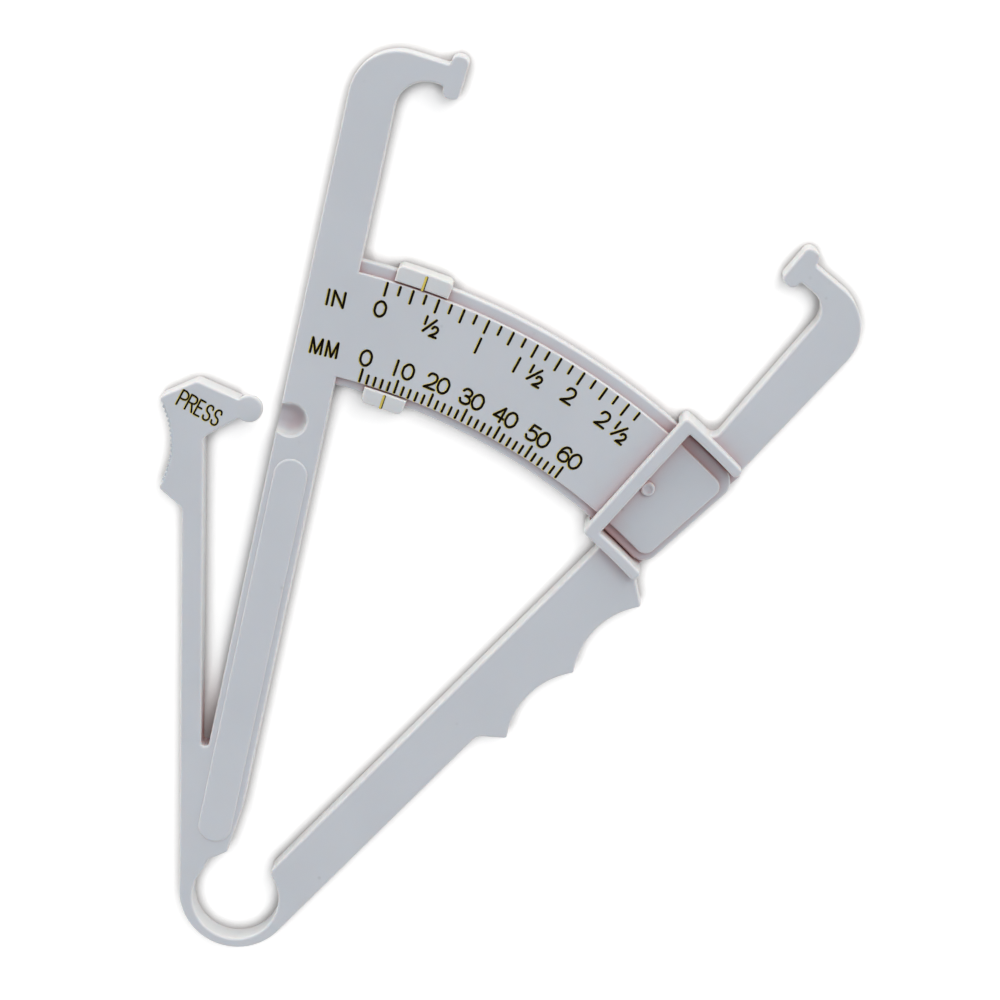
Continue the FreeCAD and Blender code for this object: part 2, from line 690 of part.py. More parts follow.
def build_lever_stem():
    """The stem: the part that flexes, and the rigid part that carries the head."""
    bottom, width = size("slot_bottom") + size("stub_length"), size("stem_width")
    knee = bottom + size("flexure_length")
    add_body("lever_flexure", STEM, stem_length(bottom, knee, width), "dims.thickness")
    top = ball_centre().x - size("head_start")
    add_body("lever_stem", STEM, stem_length(knee, top, width), "dims.thickness")


def ball_centre():
    """The centre of the ball in the stem's frame, placed beside the dish that it drops into."""
    beside_dish = vector(size("dish_distance") + size("ball_height"), ARM_LEFT + size("ball_offset"))
    return STEM.to_local(ARM.to_world(beside_dish))


def build_thumb_head():
    """The head: a hollowed thumb rest on the left and a nose that ends at the ball on the right."""
    centre, radius, neck = ball_centre(), size("ball_radius"), size("ball_neck")
    start, end, lip = centre.x - size("head_start"), centre.x + size("head_end"), size("head_lip")
    slope = start + size("head_chamfer")
    reach = math.sqrt(radius ** 2 - neck ** 2)
    outline = Outline(vector(start, 0))
    outline.to(vector(start, -size("stem_width")))
    outline.to(vector(centre.x - size("nose_root"), -size("stem_width")), "head_root_corner")
    outline.to(centre + vector(-neck, reach))
    outline.around(centre, centre + vector(neck, reach))
    outline.to(vector(centre.x + size("apex_height"), -size("apex_offset")), "head_root_corner")
    outline.to(vector(end, lip), "head_corner")
    outline.through(vector((slope + end) / 2, lip - size("thumb_hollow")), vector(slope, lip), "head_corner")
    outline.close()
    return add_body("thumb_head", STEM, outline, "dims.thickness")


def build_lever_ball():
    """The round tip of the nose, thin enough to drop into the dish."""
    ball = doc.addObject("Part::Cylinder", "lever_ball")
    ball.Label = "lever_ball"
    ball.setExpression("Radius", "dims.ball_radius")
    ball.setExpression("Height", "dims.dish_depth - dims.ball_height_gap")
    place = STEM.to_world(ball_centre())
    low = size("thickness") - size("dish_depth") + size("ball_height_gap")
    ball.Placement = FreeCAD.Placement(vector(place.x, place.y, low), FreeCAD.Rotation())
    doc.recompute()
    return ball


# --- cursor ---

CURSOR_LOW = FLANGE_INNER - size("cursor_play") - size("cursor_lower_wall")
CURSOR_HIGH = FLANGE_OUTER + size("cursor_play") + size("cursor_upper_wall")


def cursor_strip(inner, outer, corner_inner=None, corner_outer=None):
    """A cross strip of the cursor between two radii, with its slightly tapering sides."""

    def side_point(radius, side):
        near = vector(CURSOR_LOW, side * size("cursor_lower_width") / 2)
        far = vector(CURSOR_HIGH, side * size("cursor_upper_width") / 2)
        return on_circle(near, far, radius)

    outline = Outline(side_point(inner, -1), corner_inner)
    outline.to(side_point(outer, -1), corner_outer)
    outline.around(vector(0, 0), side_point(outer, 1), corner_outer)
    outline.to(side_point(inner, 1), corner_inner)
    outline.around(vector(0, 0), outline.first)
    return outline


def build_cursor():
    """The cursor: a bridge behind the plate and a clip over each ledge."""
    bridge_low = "dims.cursor_back"
    bridge_height = "dims.floor_thickness - dims.cursor_back"
    inner = FLANGE_INNER - size("cursor_play")
    outer = FLANGE_OUTER + size("cursor_play")
    add_body("cursor_bridge", CURSOR, cursor_strip(inner, outer), bridge_height, bridge_low)

    wall_height = "dims.cursor_tab_top - dims.cursor_back"
    lower = cursor_strip(CURSOR_LOW, size("plate_inner") - size("cursor_tab_gap"), "cursor_corner")
    lower_clip = add_body("cursor_lower_clip", CURSOR, lower, wall_height, bridge_low)
    upper = cursor_strip(FACE_OUTER + size("cursor_tab_gap"), CURSOR_HIGH, None, "cursor_corner")
    upper_clip = add_body("cursor_upper_clip", CURSOR, upper, wall_height, bridge_low)

    ledge_top = "dims.thickness - dims.plate_step + dims.slide_gap"
    margin = size("cursor_upper_width")
    for clip, radii in ((lower_clip, (inner, size("plate_inner"))), (upper_clip, (FACE_OUTER, outer))):
        half = math.degrees(math.asin(margin / radii[0]))
        room = Outline(polar(radii[0], -half))
        room.to(polar(radii[1], -half))
        room.around(vector(0, 0), polar(radii[1], half))
        room.to(polar(radii[0], half))
        room.around(vector(0, 0), room.first)
        add_pocket(clip, clip.Name + "_room", [room], ledge_top + " - dims.cursor_back", ledge_top)


def check_and_export():
    """Check every object of the document and write each sub-part to its own file."""
    doc.recompute()
    for item in doc.Objects:
        if "Invalid" in item.State or "Error" in item.State:
            raise RuntimeError("%s failed: %s" % (item.Name, item.State))
    os.makedirs("parts", exist_ok=True)
    helpers = ("stop_cylinder", "stop_dimple_cone")
    kinds = ("PartDesign::Body", "Part::Cut", "Part::Cylinder")
    pieces = [item for item in doc.Objects if item.TypeId in kinds and item.Name not in helpers]
    for item in pieces:
        shape = item.Shape
        if shape.isNull() or not shape.isValid() or len(shape.Solids) != 1:
            raise RuntimeError("%s has no sound solid" % item.Label)
    for item in pieces:
        item.Shape.exportStep("parts/%s.step" % item.Label)
        print("%-20s volume %9.2f" % (item.Label, item.Shape.Volume))


build_scale_arm()
build_upper_jaw()
build_plate()
build_stop_boss()
build_hinge_ring()
build_grip_arm()
build_finger_rest()
build_guide()
build_jaw_arm()
build_lower_jaw()
build_lever_stem()
build_thumb_head()
build_lever_ball()
build_cursor()
check_and_export()
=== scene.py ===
"""Skinfold caliper: a one-piece plastic moulding with a flexing hinge and thumb lever, and a sliding cursor.

Sizes are in millimetres and directions in degrees, in the axes of the loaded model: the caliper lies on its
back, +Y up along its arms and +Z out of its printed front. Meshes are turned into metres when they are finished.
"""

import logging
import math
from dataclasses import dataclass, field
from enum import Enum

import bmesh
import bpy
from mathutils import Matrix, Vector

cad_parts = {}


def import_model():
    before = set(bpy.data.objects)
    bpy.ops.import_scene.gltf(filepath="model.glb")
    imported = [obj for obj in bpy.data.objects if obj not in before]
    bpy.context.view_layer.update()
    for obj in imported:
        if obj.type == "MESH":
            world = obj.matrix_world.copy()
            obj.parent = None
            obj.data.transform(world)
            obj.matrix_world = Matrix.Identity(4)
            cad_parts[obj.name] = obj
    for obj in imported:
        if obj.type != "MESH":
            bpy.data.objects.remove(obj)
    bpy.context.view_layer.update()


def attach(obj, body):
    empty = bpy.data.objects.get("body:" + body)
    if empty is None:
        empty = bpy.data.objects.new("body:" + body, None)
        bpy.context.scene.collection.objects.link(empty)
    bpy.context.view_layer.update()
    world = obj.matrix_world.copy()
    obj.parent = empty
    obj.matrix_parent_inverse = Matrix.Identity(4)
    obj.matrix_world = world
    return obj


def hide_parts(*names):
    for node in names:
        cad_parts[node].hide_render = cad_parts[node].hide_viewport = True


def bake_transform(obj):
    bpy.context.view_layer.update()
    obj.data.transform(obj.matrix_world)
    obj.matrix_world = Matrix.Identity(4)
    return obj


LOG = logging.getLogger("skinfold_caliper")
METRES_PER_MM = 0.001
UP = Vector((0.0, 0.0, 1.0))


def polar(radius: float, direction: float, centre: Vector | None = None) -> Vector:
    """A point by its radius and direction.

    Args:
        radius: Distance from the centre.
        direction: Direction from +X.
        centre: The centre, or None for the origin.

    Returns:
        The point.
    """
    angle = math.radians(direction)
    return Vector((radius * math.cos(angle), radius * math.sin(angle), 0.0)) + (centre or Vector())


def crossing(p: Vector, q: Vector, r: Vector, t: Vector) -> Vector:
    """Where the line through p and q crosses the line through r and t.

    Args:
        p: A point of the first line.
        q: A further point of the first line.
        r: A point of the second line.
        t: A further point of the second line.

    Returns:
        The crossing.
    """
    a, b = q - p, t - r
    share = ((r.x - p.x) * b.y - (r.y - p.y) * b.x) / (a.x * b.y - a.y * b.x)
    return p + a * share


def on_circle(p: Vector, q: Vector, radius: float, centre: Vector) -> Vector:
    """Where the line through p and q meets a circle, at the crossing nearest q.

    Args:
        p: A point of the line.
        q: A further point of the line.
        radius: The circle's radius.
        centre: The circle's centre.

    Returns:
        The crossing.
    """
    along = (q - p).normalized()
    foot = p + along * (centre - p).dot(along)
    half = math.sqrt(radius ** 2 - (foot - centre).length ** 2)
    return min((foot + along * half, foot - along * half), key=lambda end: (end - q).length)


def placed(name: str, data: bpy.types.ID) -> bpy.types.Object:
    """A new object in the scene."""
    item = bpy.data.objects.new(name, data)
    bpy.context.scene.collection.objects.link(item)
    return item


@dataclass(frozen=True)
class Place:
    """An upright set of axes on the table's plane."""

    x: float
    y: float
    direction: float

    @property
    def origin(self) -> Vector:
        """The origin."""
        return Vector((self.x, self.y, 0.0))

    def at(self, along: float, across: float) -> Vector:
        """The point at a distance along the axes' direction and to its left."""
        return polar(along, self.direction, polar(across, self.direction + 90.0, self.origin))

    def inside(self, point: Vector) -> tuple[float, float]:
        """A point's distances along and across."""
        delta = point - self.origin
        return delta.dot(polar(1.0, self.direction)), delta.dot(polar(1.0, self.direction + 90.0))

    def turned(self, radius: float, angle: float) -> Vector:
        """The point at a radius, turned by an angle from the axes' direction."""
        return polar(radius, self.direction + angle, self.origin)


PIVOT = (-8.52, -12.11)
ARM = Place(0.0, 0.0, 76.9)
GRIP = Place(0.0, 0.0, 45.4)
STEM = Place(-10.65, 0.90, 88.0)
UPPER_JAW = Place(*PIVOT, 72.16)
LOWER_JAW = Place(*PIVOT, 49.75)
PLATE = Place(*PIVOT, 42.40)
GUIDE = Place(*PIVOT, 48.45)
CURSOR = Place(*PIVOT, 70.57)


class Outline:
    """A closed line of straight and round edges on the table's plane, which becomes a moulded slab."""

    touching: float = 1e-4
    seam_reach: float = 1e-3
    corner_step: float = 0.35
    corner_room: float = 0.96

    def __init__(self, start: Vector, rounding: float = 0.0) -> None:
        """Start the line at a point, whose corner may be rounded."""
        self.mesh = bmesh.new()
        self.first = self.last = self.mesh.verts.new(start)
        self.corners = [(self.first, rounding)]
        self.seams: list[Vector] = []

    def to(self, point: Vector, rounding: float = 0.0) -> "Outline":
        """Draw a straight edge to a point."""
        new = self.mesh.verts.new(point)
        self.mesh.edges.new((self.last, new))
        self.last = new
        self.corners.append((new, rounding))
        return self

    def seam_to(self, point: Vector) -> "Outline":
        """Draw a straight edge on which another piece of the same moulding carries on."""
        self.seams.append((self.last.co + point) / 2)
        return self.to(point)

    def around(self, centre: Vector, point: Vector, rounding: float = 0.0, chord: float = 0.6,
               long_way: bool = False) -> "Outline":
        """Draw a round edge about a centre.

        Args:
            centre: The centre.
            point: Where the edge ends.
            rounding: Radius of that end's corner.
            chord: Length of the edge's short steps.
            long_way: Whether it goes the long way round.

        Returns:
            The outline.
        """
        a, b = self.last.co - centre, point - centre
        sweep = math.atan2(a.x * b.y - a.y * b.x, a.dot(b))
        if long_way:
            sweep -= math.copysign(2 * math.pi, sweep)
        steps = max(3, round(abs(sweep) * a.length / chord))
        turned = bmesh.ops.spin(self.mesh, geom=[self.last], cent=centre, axis=UP, dvec=Vector(),
                                angle=sweep, steps=steps, use_merge=False, use_duplicate=False)
        self.last = next(item for item in turned["geom_last"] if isinstance(item, bmesh.types.BMVert))
        self.last.co = point
        self.corners.append((self.last, rounding))
        return self

    def through(self, middle: Vector, point: Vector, rounding: float = 0.0, chord: float = 0.6) -> "Outline":
        """Draw a round edge through a middle point.

        Args:
            middle: A point halfway along the edge.
            point: Where the edge ends.
            rounding: Radius of that end's corner.
            chord: Length of the edge's short steps.

        Returns:
            The outline.
        """
        start = self.last.co.copy()
        one, two = (start + middle) / 2, (middle + point) / 2
        centre = crossing(one, one + (middle - start).cross(UP), two, two + (point - middle).cross(UP))
        return self.around(centre, middle, 0.0, chord).around(centre, point, rounding, chord)

    def close(self) -> "Outline":
        """Close the line and round its corners."""
        if (self.last.co - self.first.co).length < self.touching:
            self.corners.pop()
            bmesh.ops.weld_verts(self.mesh, targetmap={self.last: self.first})
        else:
            self.mesh.edges.new((self.last, self.first))
        bmesh.ops.contextual_create(self.mesh, geom=list(self.mesh.edges))
        for corner, radius in self.corners:
            if radius:
                self._round(corner, radius)
        return self

    def _round(self, corner: bmesh.types.BMVert, radius: float) -> None:
        """Round one corner by a radius.

        Args:
            corner: The corner.
            radius: Its radius.
        """
        sides = [edge.other_vert(corner).co - corner.co for edge in corner.link_edges]
        turn = math.pi - sides[0].angle(sides[1])
        reach = min(radius * math.tan(turn / 2), self.corner_room * min(side.length for side in sides))
        steps = max(3, round(turn * radius / self.corner_step))
        bmesh.ops.bevel(self.mesh, geom=[corner], offset=reach, offset_type="OFFSET", affect="VERTICES",
                        segments=steps, profile=0.5, material=-1)

    def slab(self, low: float, high: float, front: float = 0.0, back: float = 0.0,
             steps: int = 4) -> bmesh.types.BMesh:
        """Raise the closed line into a slab with rounded rims.

        Args:
            low: Height of the slab's back.
            high: Height of its front.
            front: Radius of the front rim.
            back: Radius of the back rim.
            steps: Faces across a rim.

        Returns:
            The slab.
        """
        mesh = self.mesh
        bmesh.ops.translate(mesh, verts=list(mesh.verts), vec=UP * low)
        raised = bmesh.ops.extrude_face_region(mesh, geom=list(mesh.faces))
        tops = [item for item in raised["geom"] if isinstance(item, bmesh.types.BMVert)]
        bmesh.ops.translate(mesh, verts=tops, vec=UP * (high - low))
        bmesh.ops.recalc_face_normals(mesh, faces=list(mesh.faces))
        for level, radius in ((high, front), (low, back)):
            if radius:
                rim = [edge for edge in mesh.edges
                       if all(abs(vert.co.z - level) < self.touching for vert in edge.verts)
                       and not self._on_seam(edge)]
                bmesh.ops.bevel(mesh, geom=rim, offset=radius, offset_type="OFFSET", affect="EDGES",
                                segments=steps, profile=0.5, material=-1, loop_slide=True)
        return mesh

    def _on_seam(self, edge: bmesh.types.BMEdge) -> bool:
        """Whether an edge lies where another piece carries on."""
        middle = (edge.verts[0].co + edge.verts[1].co) / 2
        return any((Vector((middle.x, middle.y, 0.0)) - seam).length < self.seam_reach for seam in self.seams)


def turned_body(profile: list[tuple[float, float]], centre: Vector, steps: int = 48) -> bmesh.types.BMesh:
    """Turn a profile about an upright axis, as on a lathe.

    Args:
        profile: Radius and height of each point, from the axis round to the axis.
        centre: The axis.
        steps: Steps of the full turn.

    Returns:
        The turned body.
    """
    mesh = bmesh.new()
    points = [mesh.verts.new((centre.x + radius, centre.y, height)) for radius, height in profile]
    edges = [mesh.edges.new(pair) for pair in zip(points, points[1:])]
    bmesh.ops.spin(mesh, geom=points + edges, cent=centre, axis=UP, dvec=Vector(), angle=2 * math.pi,
                   steps=steps, use_merge=True, use_duplicate=False)
    bmesh.ops.remove_doubles(mesh, verts=list(mesh.verts), dist=Outline.touching)
    bmesh.ops.recalc_face_normals(mesh, faces=list(mesh.faces))
    return mesh


class Join(Enum):
    """How one shape meets another."""

    ADD = "UNION"
    CUT = "DIFFERENCE"


@dataclass
class Moulding:
    """A shape put together from slabs, in millimetres, and then finished as one piece."""

    name: str
    body: bpy.types.Object | None = None
    sharp_angle: float = 32.0
    flat_weight: int = 80

    def _object(self, mesh: bmesh.types.BMesh, name: str) -> bpy.types.Object:
        """An object made from an edit mesh, which is freed."""
        data = bpy.data.meshes.new(name)
        mesh.to_mesh(data)
        mesh.free()
        return placed(name, data)

    def _evaluate(self) -> None:
        """Turn the body's modifiers into its mesh."""
        graph = bpy.context.evaluated_depsgraph_get()
        result = bpy.data.meshes.new_from_object(self.body.evaluated_get(graph))
        self.body.modifiers.clear()
        old, self.body.data = self.body.data, result
        bpy.data.meshes.remove(old)

    def meet(self, mesh: bmesh.types.BMesh, join: Join = Join.ADD) -> "Moulding":
        """Add a shape to the body or cut it out.

        Args:
            mesh: The shape.
            join: Whether it is added or cut.

        Returns:
            The moulding.
        """
        if self.body is None:
            self.body = self._object(mesh, self.name)
            return self
        other = self._object(mesh, self.name + "_tool")
        step = self.body.modifiers.new(join.name.lower(), "BOOLEAN")
        step.operation = join.value
        step.solver = "EXACT"
        step.object = other
        self._evaluate()
        data = other.data
        bpy.data.objects.remove(other)
        bpy.data.meshes.remove(data)
        return self

    def overlay(self, mesh: bmesh.types.BMesh) -> "Moulding":
        """Add small raised detail that is sunk into the body, without joining the two."""
        mesh.from_mesh(self.body.data)
        mesh.to_mesh(self.body.data)
        mesh.free()
        return self

    def finish(self, material: bpy.types.Material) -> bpy.types.Object:
        """Smooth the rims, keep the flats flat, turn the sizes into metres and dress the piece.

        Args:
            material: The piece's material.

        Returns:
            The finished piece.
        """
        data = self.body.data
        data.transform(Matrix.Scale(METRES_PER_MM, 4))
        data.shade_smooth()
        data.set_sharp_from_angle(angle=math.radians(self.sharp_angle))
        weigh = self.body.modifiers.new("flats", "WEIGHTED_NORMAL")
        weigh.mode = "FACE_AREA"
        weigh.weight = self.flat_weight
        weigh.keep_sharp = True
        self._evaluate()
        self.body.data.materials.clear()
        self.body.data.materials.append(material)
        return self.body


# --- finishes ---

Span = tuple[float, float]
Colour = tuple[float, float, float]
Feed = bpy.types.NodeSocket | float | tuple[float, ...]


@dataclass(frozen=True)
class Wiring:
    """A node tree, with short ways to add its nodes and join them."""

    tree: bpy.types.NodeTree

    def add(self, kind: str, **settings: object) -> bpy.types.Node:
        """A new node with its settings."""
        node = self.tree.nodes.new("ShaderNode" + kind)
        for label, value in settings.items():
            setattr(node, label, value)
        return node

    def feed(self, value: Feed, socket: bpy.types.NodeSocket) -> None:
        """Wire a value to a socket, or set the socket to a constant."""
        if isinstance(value, bpy.types.NodeSocket):
            self.tree.links.new(value, socket)
        else:
            socket.default_value = value

    def reckon(self, kind: str, operation: str, values: tuple[Feed, ...]) -> bpy.types.Node:
        """A node that works on its values in their order."""
        node = self.add(kind, operation=operation)
        for value, socket in zip(values, node.inputs):
            self.feed(value, socket)
        return node

    def maths(self, operation: str, *values: Feed) -> bpy.types.NodeSocket:
        """The result of a sum on numbers."""
        return self.reckon("Math", operation, values).outputs[0]

    def blend(self, operation: str, *values: Feed) -> bpy.types.NodeSocket:
        """The result of a sum on colours."""
        return self.reckon("VectorMath", operation, values).outputs["Vector"]

    def mapped(self, value: bpy.types.NodeSocket, source: Span, target: Span) -> bpy.types.NodeSocket:
        """A value moved from one range to another."""
        node = self.add("MapRange")
        for label, number in zip(("From Min", "From Max", "To Min", "To Max"), (*source, *target)):
            node.inputs[label].default_value = number
        self.feed(value, node.inputs["Value"])
        return node.outputs["Result"]


@dataclass(frozen=True)
class MouldedSurface:
    """The skin of a moulded part: a soft change of tone, sparse specks, a fine texture, a painted sheen that
    makes sides and rims lighter and warmer, and painted shade in hollows.
    """

    name: str = "moulded_surface"
    noise_middle: Span = (0.3, 0.7)
    cloud_scale: float = 55.0
    speck_scale: float = 260.0
    speck_edge: Span = (0.05, 0.13)
    speck_patches: float = 140.0
    speck_choice: Span = (0.60, 0.68)
    grain_scale: float = 2600.0
    grain_gloss: Span = (-0.05, 0.05)
    # How far a normal turns from +Z before the painted sheen on sides and rims is full.
    rim_turn: Span = (0.97, 0.35)
    # Painted shade: ambient occlusion within this reach darkens upward faces near walls and all deep hollows
    # towards a brown tint, standing in for the shade in crevices and channels.
    shelter_reach: float = 0.005
    shelter_level: Span = (0.25, 0.88)
    shelter_deep: Span = (0.10, 0.40)
    level_turn: Span = (0.5, 0.9)
    crevice_tint: Colour = (-0.22, -0.59, -0.61)

    def group(self) -> bpy.types.NodeTree:
        """The shader group, built once.

        Returns:
            The node group.
        """
        made = bpy.data.node_groups.get(self.name)
        if made:
            return made
        tree = bpy.data.node_groups.new(self.name, "ShaderNodeTree")
        wiring = Wiring(tree)
        for label, kind, value in (("Colour", "NodeSocketColor", None), ("Cloud", "NodeSocketFloat", 0.03),
                                   ("Specks", "NodeSocketFloat", 0.2), ("Gloss", "NodeSocketFloat", 0.4),
                                   ("Rim", "NodeSocketColor", None), ("Crevice", "NodeSocketFloat", 0.0)):
            socket = tree.interface.new_socket(label, in_out="INPUT", socket_type=kind)
            if value is not None:
                socket.default_value = value
        for label, kind in (("Colour", "NodeSocketColor"), ("Roughness", "NodeSocketFloat"),
                            ("Height", "NodeSocketFloat")):
            tree.interface.new_socket(label, in_out="OUTPUT", socket_type=kind)
        inputs = tree.nodes.new("NodeGroupInput").outputs
        outputs = tree.nodes.new("NodeGroupOutput").inputs
        where = wiring.add("TexCoord").outputs

        def noise(scale: float, detail: float) -> bpy.types.NodeSocket:
            """A noise in the piece's own coordinates."""
            node = wiring.add("TexNoise")
            for label, value in (("Scale", scale), ("Detail", detail), ("Vector", where["Object"])):
                wiring.feed(value, node.inputs[label])
            return node.outputs["Fac"]

        cloud = wiring.mapped(noise(self.cloud_scale, 3.0), self.noise_middle, (-1.0, 1.0))
        cloud = wiring.maths("MULTIPLY", cloud, inputs["Cloud"])
        cells = wiring.add("TexVoronoi")
        wiring.feed(self.speck_scale, cells.inputs["Scale"])
        wiring.feed(where["Object"], cells.inputs["Vector"])
        dots = wiring.mapped(cells.outputs["Distance"], self.speck_edge, (1.0, 0.0))
        chosen = wiring.mapped(noise(self.speck_patches, 1.0), self.speck_choice, (0.0, 1.0))
        specks = wiring.maths("MULTIPLY", wiring.maths("MULTIPLY", dots, chosen), inputs["Specks"])
        tone = wiring.maths("SUBTRACT", wiring.maths("ADD", cloud, 1.0), specks)
        paint = wiring.add("VectorMath", operation="SCALE")
        wiring.feed(inputs["Colour"], paint.inputs[0])
        wiring.feed(tone, paint.inputs["Scale"])
        facing = wiring.add("SeparateXYZ")
        wiring.feed(where["Normal"], facing.inputs[0])
        upward = facing.outputs["Z"]
        # Painted sheen: faces whose normals turn away from +Z, the sides and rounded rims, get a warm colour
        # added, a painted highlight standing in for the light they catch.
        side = wiring.mapped(wiring.maths("ABSOLUTE", upward, 0.0), self.rim_turn, (0.0, 1.0))
        rims = wiring.blend("MULTIPLY_ADD", inputs["Rim"], side, paint.outputs["Vector"])
        # Painted shade: where ambient occlusion finds nearby walls, upward faces and deep hollows are darkened
        # towards brown, shade painted into the colour.
        shelter = wiring.add("AmbientOcclusion", samples=6)
        wiring.feed(self.shelter_reach, shelter.inputs["Distance"])
        level = wiring.maths("MULTIPLY", wiring.mapped(shelter.outputs["AO"], self.shelter_level, (1.0, 0.0)),
                             wiring.mapped(upward, self.level_turn, (0.0, 1.0)))
        painted_shade = wiring.mapped(shelter.outputs["AO"], self.shelter_deep, (1.0, 0.0))
        painted_shade = wiring.maths("MULTIPLY", wiring.maths("MAXIMUM", level, painted_shade), inputs["Crevice"])
        painted_shade_colour = wiring.blend("MULTIPLY_ADD", self.crevice_tint, painted_shade, (1.0, 1.0, 1.0))
        wiring.feed(wiring.blend("MULTIPLY", rims, painted_shade_colour), outputs["Colour"])
        fine = noise(self.grain_scale, 2.0)
        gloss = wiring.mapped(fine, self.noise_middle, self.grain_gloss)
        wiring.feed(wiring.maths("ADD", gloss, inputs["Gloss"]), outputs["Roughness"])
        wiring.feed(fine, outputs["Height"])
        return tree


@dataclass(frozen=True)
class Plastic:
    """Satin moulded plastic."""

    name: str
    colour: Colour
    cloud: float = 0.02
    specks: float = 0.16
    gloss: float = 0.42
    grain: float = 0.05
    grain_height: float = 0.0001
    refraction: float = 1.46
    specular: float = 0.5
    depth: float = 0.0
    depth_colour: Colour = (1.0, 0.55, 0.38)
    depth_reach: float = 0.0012
    # Warm colour added on sides and rounded rims as a painted sheen, lighter where light would catch them.
    rim: Colour = (0.0, 0.0, 0.0)
    # Strength of the painted shade that darkens hollows and channels towards brown.
    crevice: float = 0.0
    surface: MouldedSurface = MouldedSurface()

    def material(self) -> bpy.types.Material:
        """The material.

        Returns:
            The new material.
        """
        made = bpy.data.materials.new(self.name)
        made.use_nodes = True
        wiring = Wiring(made.node_tree)
        shader = made.node_tree.nodes["Principled BSDF"].inputs
        skin = wiring.add("Group", node_tree=self.surface.group())
        for label, value in (("Colour", (*self.colour, 1.0)), ("Cloud", self.cloud), ("Specks", self.specks),
                             ("Gloss", self.gloss), ("Rim", (*self.rim, 1.0)), ("Crevice", self.crevice)):
            skin.inputs[label].default_value = value
        bump = wiring.add("Bump")
        for label, value in (("Strength", self.grain), ("Distance", self.grain_height),
                             ("Height", skin.outputs["Height"])):
            wiring.feed(value, bump.inputs[label])
        for label, value in (("Base Color", skin.outputs["Colour"]), ("Roughness", skin.outputs["Roughness"]),
                             ("Normal", bump.outputs["Normal"]), ("IOR", self.refraction),
                             ("Specular IOR Level", self.specular), ("Subsurface Weight", self.depth),
                             ("Subsurface Radius", self.depth_colour), ("Subsurface Scale", self.depth_reach)):
            wiring.feed(value, shader[label])
        return made


# The body and cursor plastics carry a painted sheen on sides and rims and painted shade darkening their hollows.
BODY_PLASTIC = Plastic("body_plastic_satin", (0.518, 0.549, 0.598), depth=0.35, rim=(0.17, 0.15, 0.11),
                       crevice=1.0)
CURSOR_PLASTIC = Plastic("cursor_plastic_satin", (0.575, 0.600, 0.630), cloud=0.015, specks=0.05, depth=0.35,
                         rim=(0.15, 0.13, 0.09), crevice=0.6)
BLACK_FOIL = Plastic("black_foil", (0.005, 0.003, 0.002), cloud=0.25, specks=0.0, gloss=0.6, grain=0.02,
                     specular=0.03)
GOLD_FOIL = Plastic("gold_foil", (0.62, 0.50, 0.10), cloud=0.25, specks=0.1, gloss=0.45, grain=0.02,
                    specular=0.3)


# --- the moulding that holds the scale ---


@dataclass
class BodyMoulding:
    """What all pieces of the one-piece body share."""

    thickness: float = 5.8
    rim: float = 0.45
    back_rim: float = 0.35
    hole_radius: float = 8.2

    def raised(self, outline: Outline) -> bmesh.types.BMesh:
        """Close an outline and raise it to the body's full thickness."""
        closed = outline.close()
        return closed.slab(0.0, self.thickness, self.rim, self.back_rim)


@dataclass
class Jaw:
    """A hook that ends in a T-shaped pad."""

    pad_start: float = 171.2
    pad_length: float = 8.1
    pad_thickness: float = 3.25
    pad_corner: float = 1.35
    neck_start: float = 173.2
    neck_width: float = 4.0
    neck_corner: float = 0.55
    hook_radius: float = 9.2

    def draw(self, outline: Outline, place: Place, side: int, inner: tuple[Vector, Vector],
             outer: tuple[Vector, Vector], throat: float) -> None:
        """Draw the hook from its inner edge round to its outer edge.

        Args:
            outline: The outline, which has reached the inner edge.
            place: The jaw's axes, along its face.
            side: +1 where the hook lies to the left of the face, -1 to the right.
            inner: Two points of the inner edge's line.
            outer: Two points of the outer edge's line.
            throat: Radius inside the hook.
        """
        back = side * self.pad_thickness
        near, far = self.neck_start, self.neck_start + self.neck_width
        end = self.pad_start + self.pad_length
        outline.to(crossing(*inner, place.at(near, 0.0), place.at(near, 1.0)), throat)
        outline.to(place.at(near, back), self.neck_corner)
        outline.to(place.at(self.pad_start, back), self.pad_corner)
        outline.to(place.at(self.pad_start, 0.0), self.pad_corner)
        outline.to(place.at(end, 0.0), self.pad_corner)
        outline.to(place.at(end, back), self.pad_corner)
        outline.to(place.at(far, back), self.neck_corner)
        outline.to(crossing(*outer, place.at(far, 0.0), place.at(far, 1.0)), self.hook_radius)


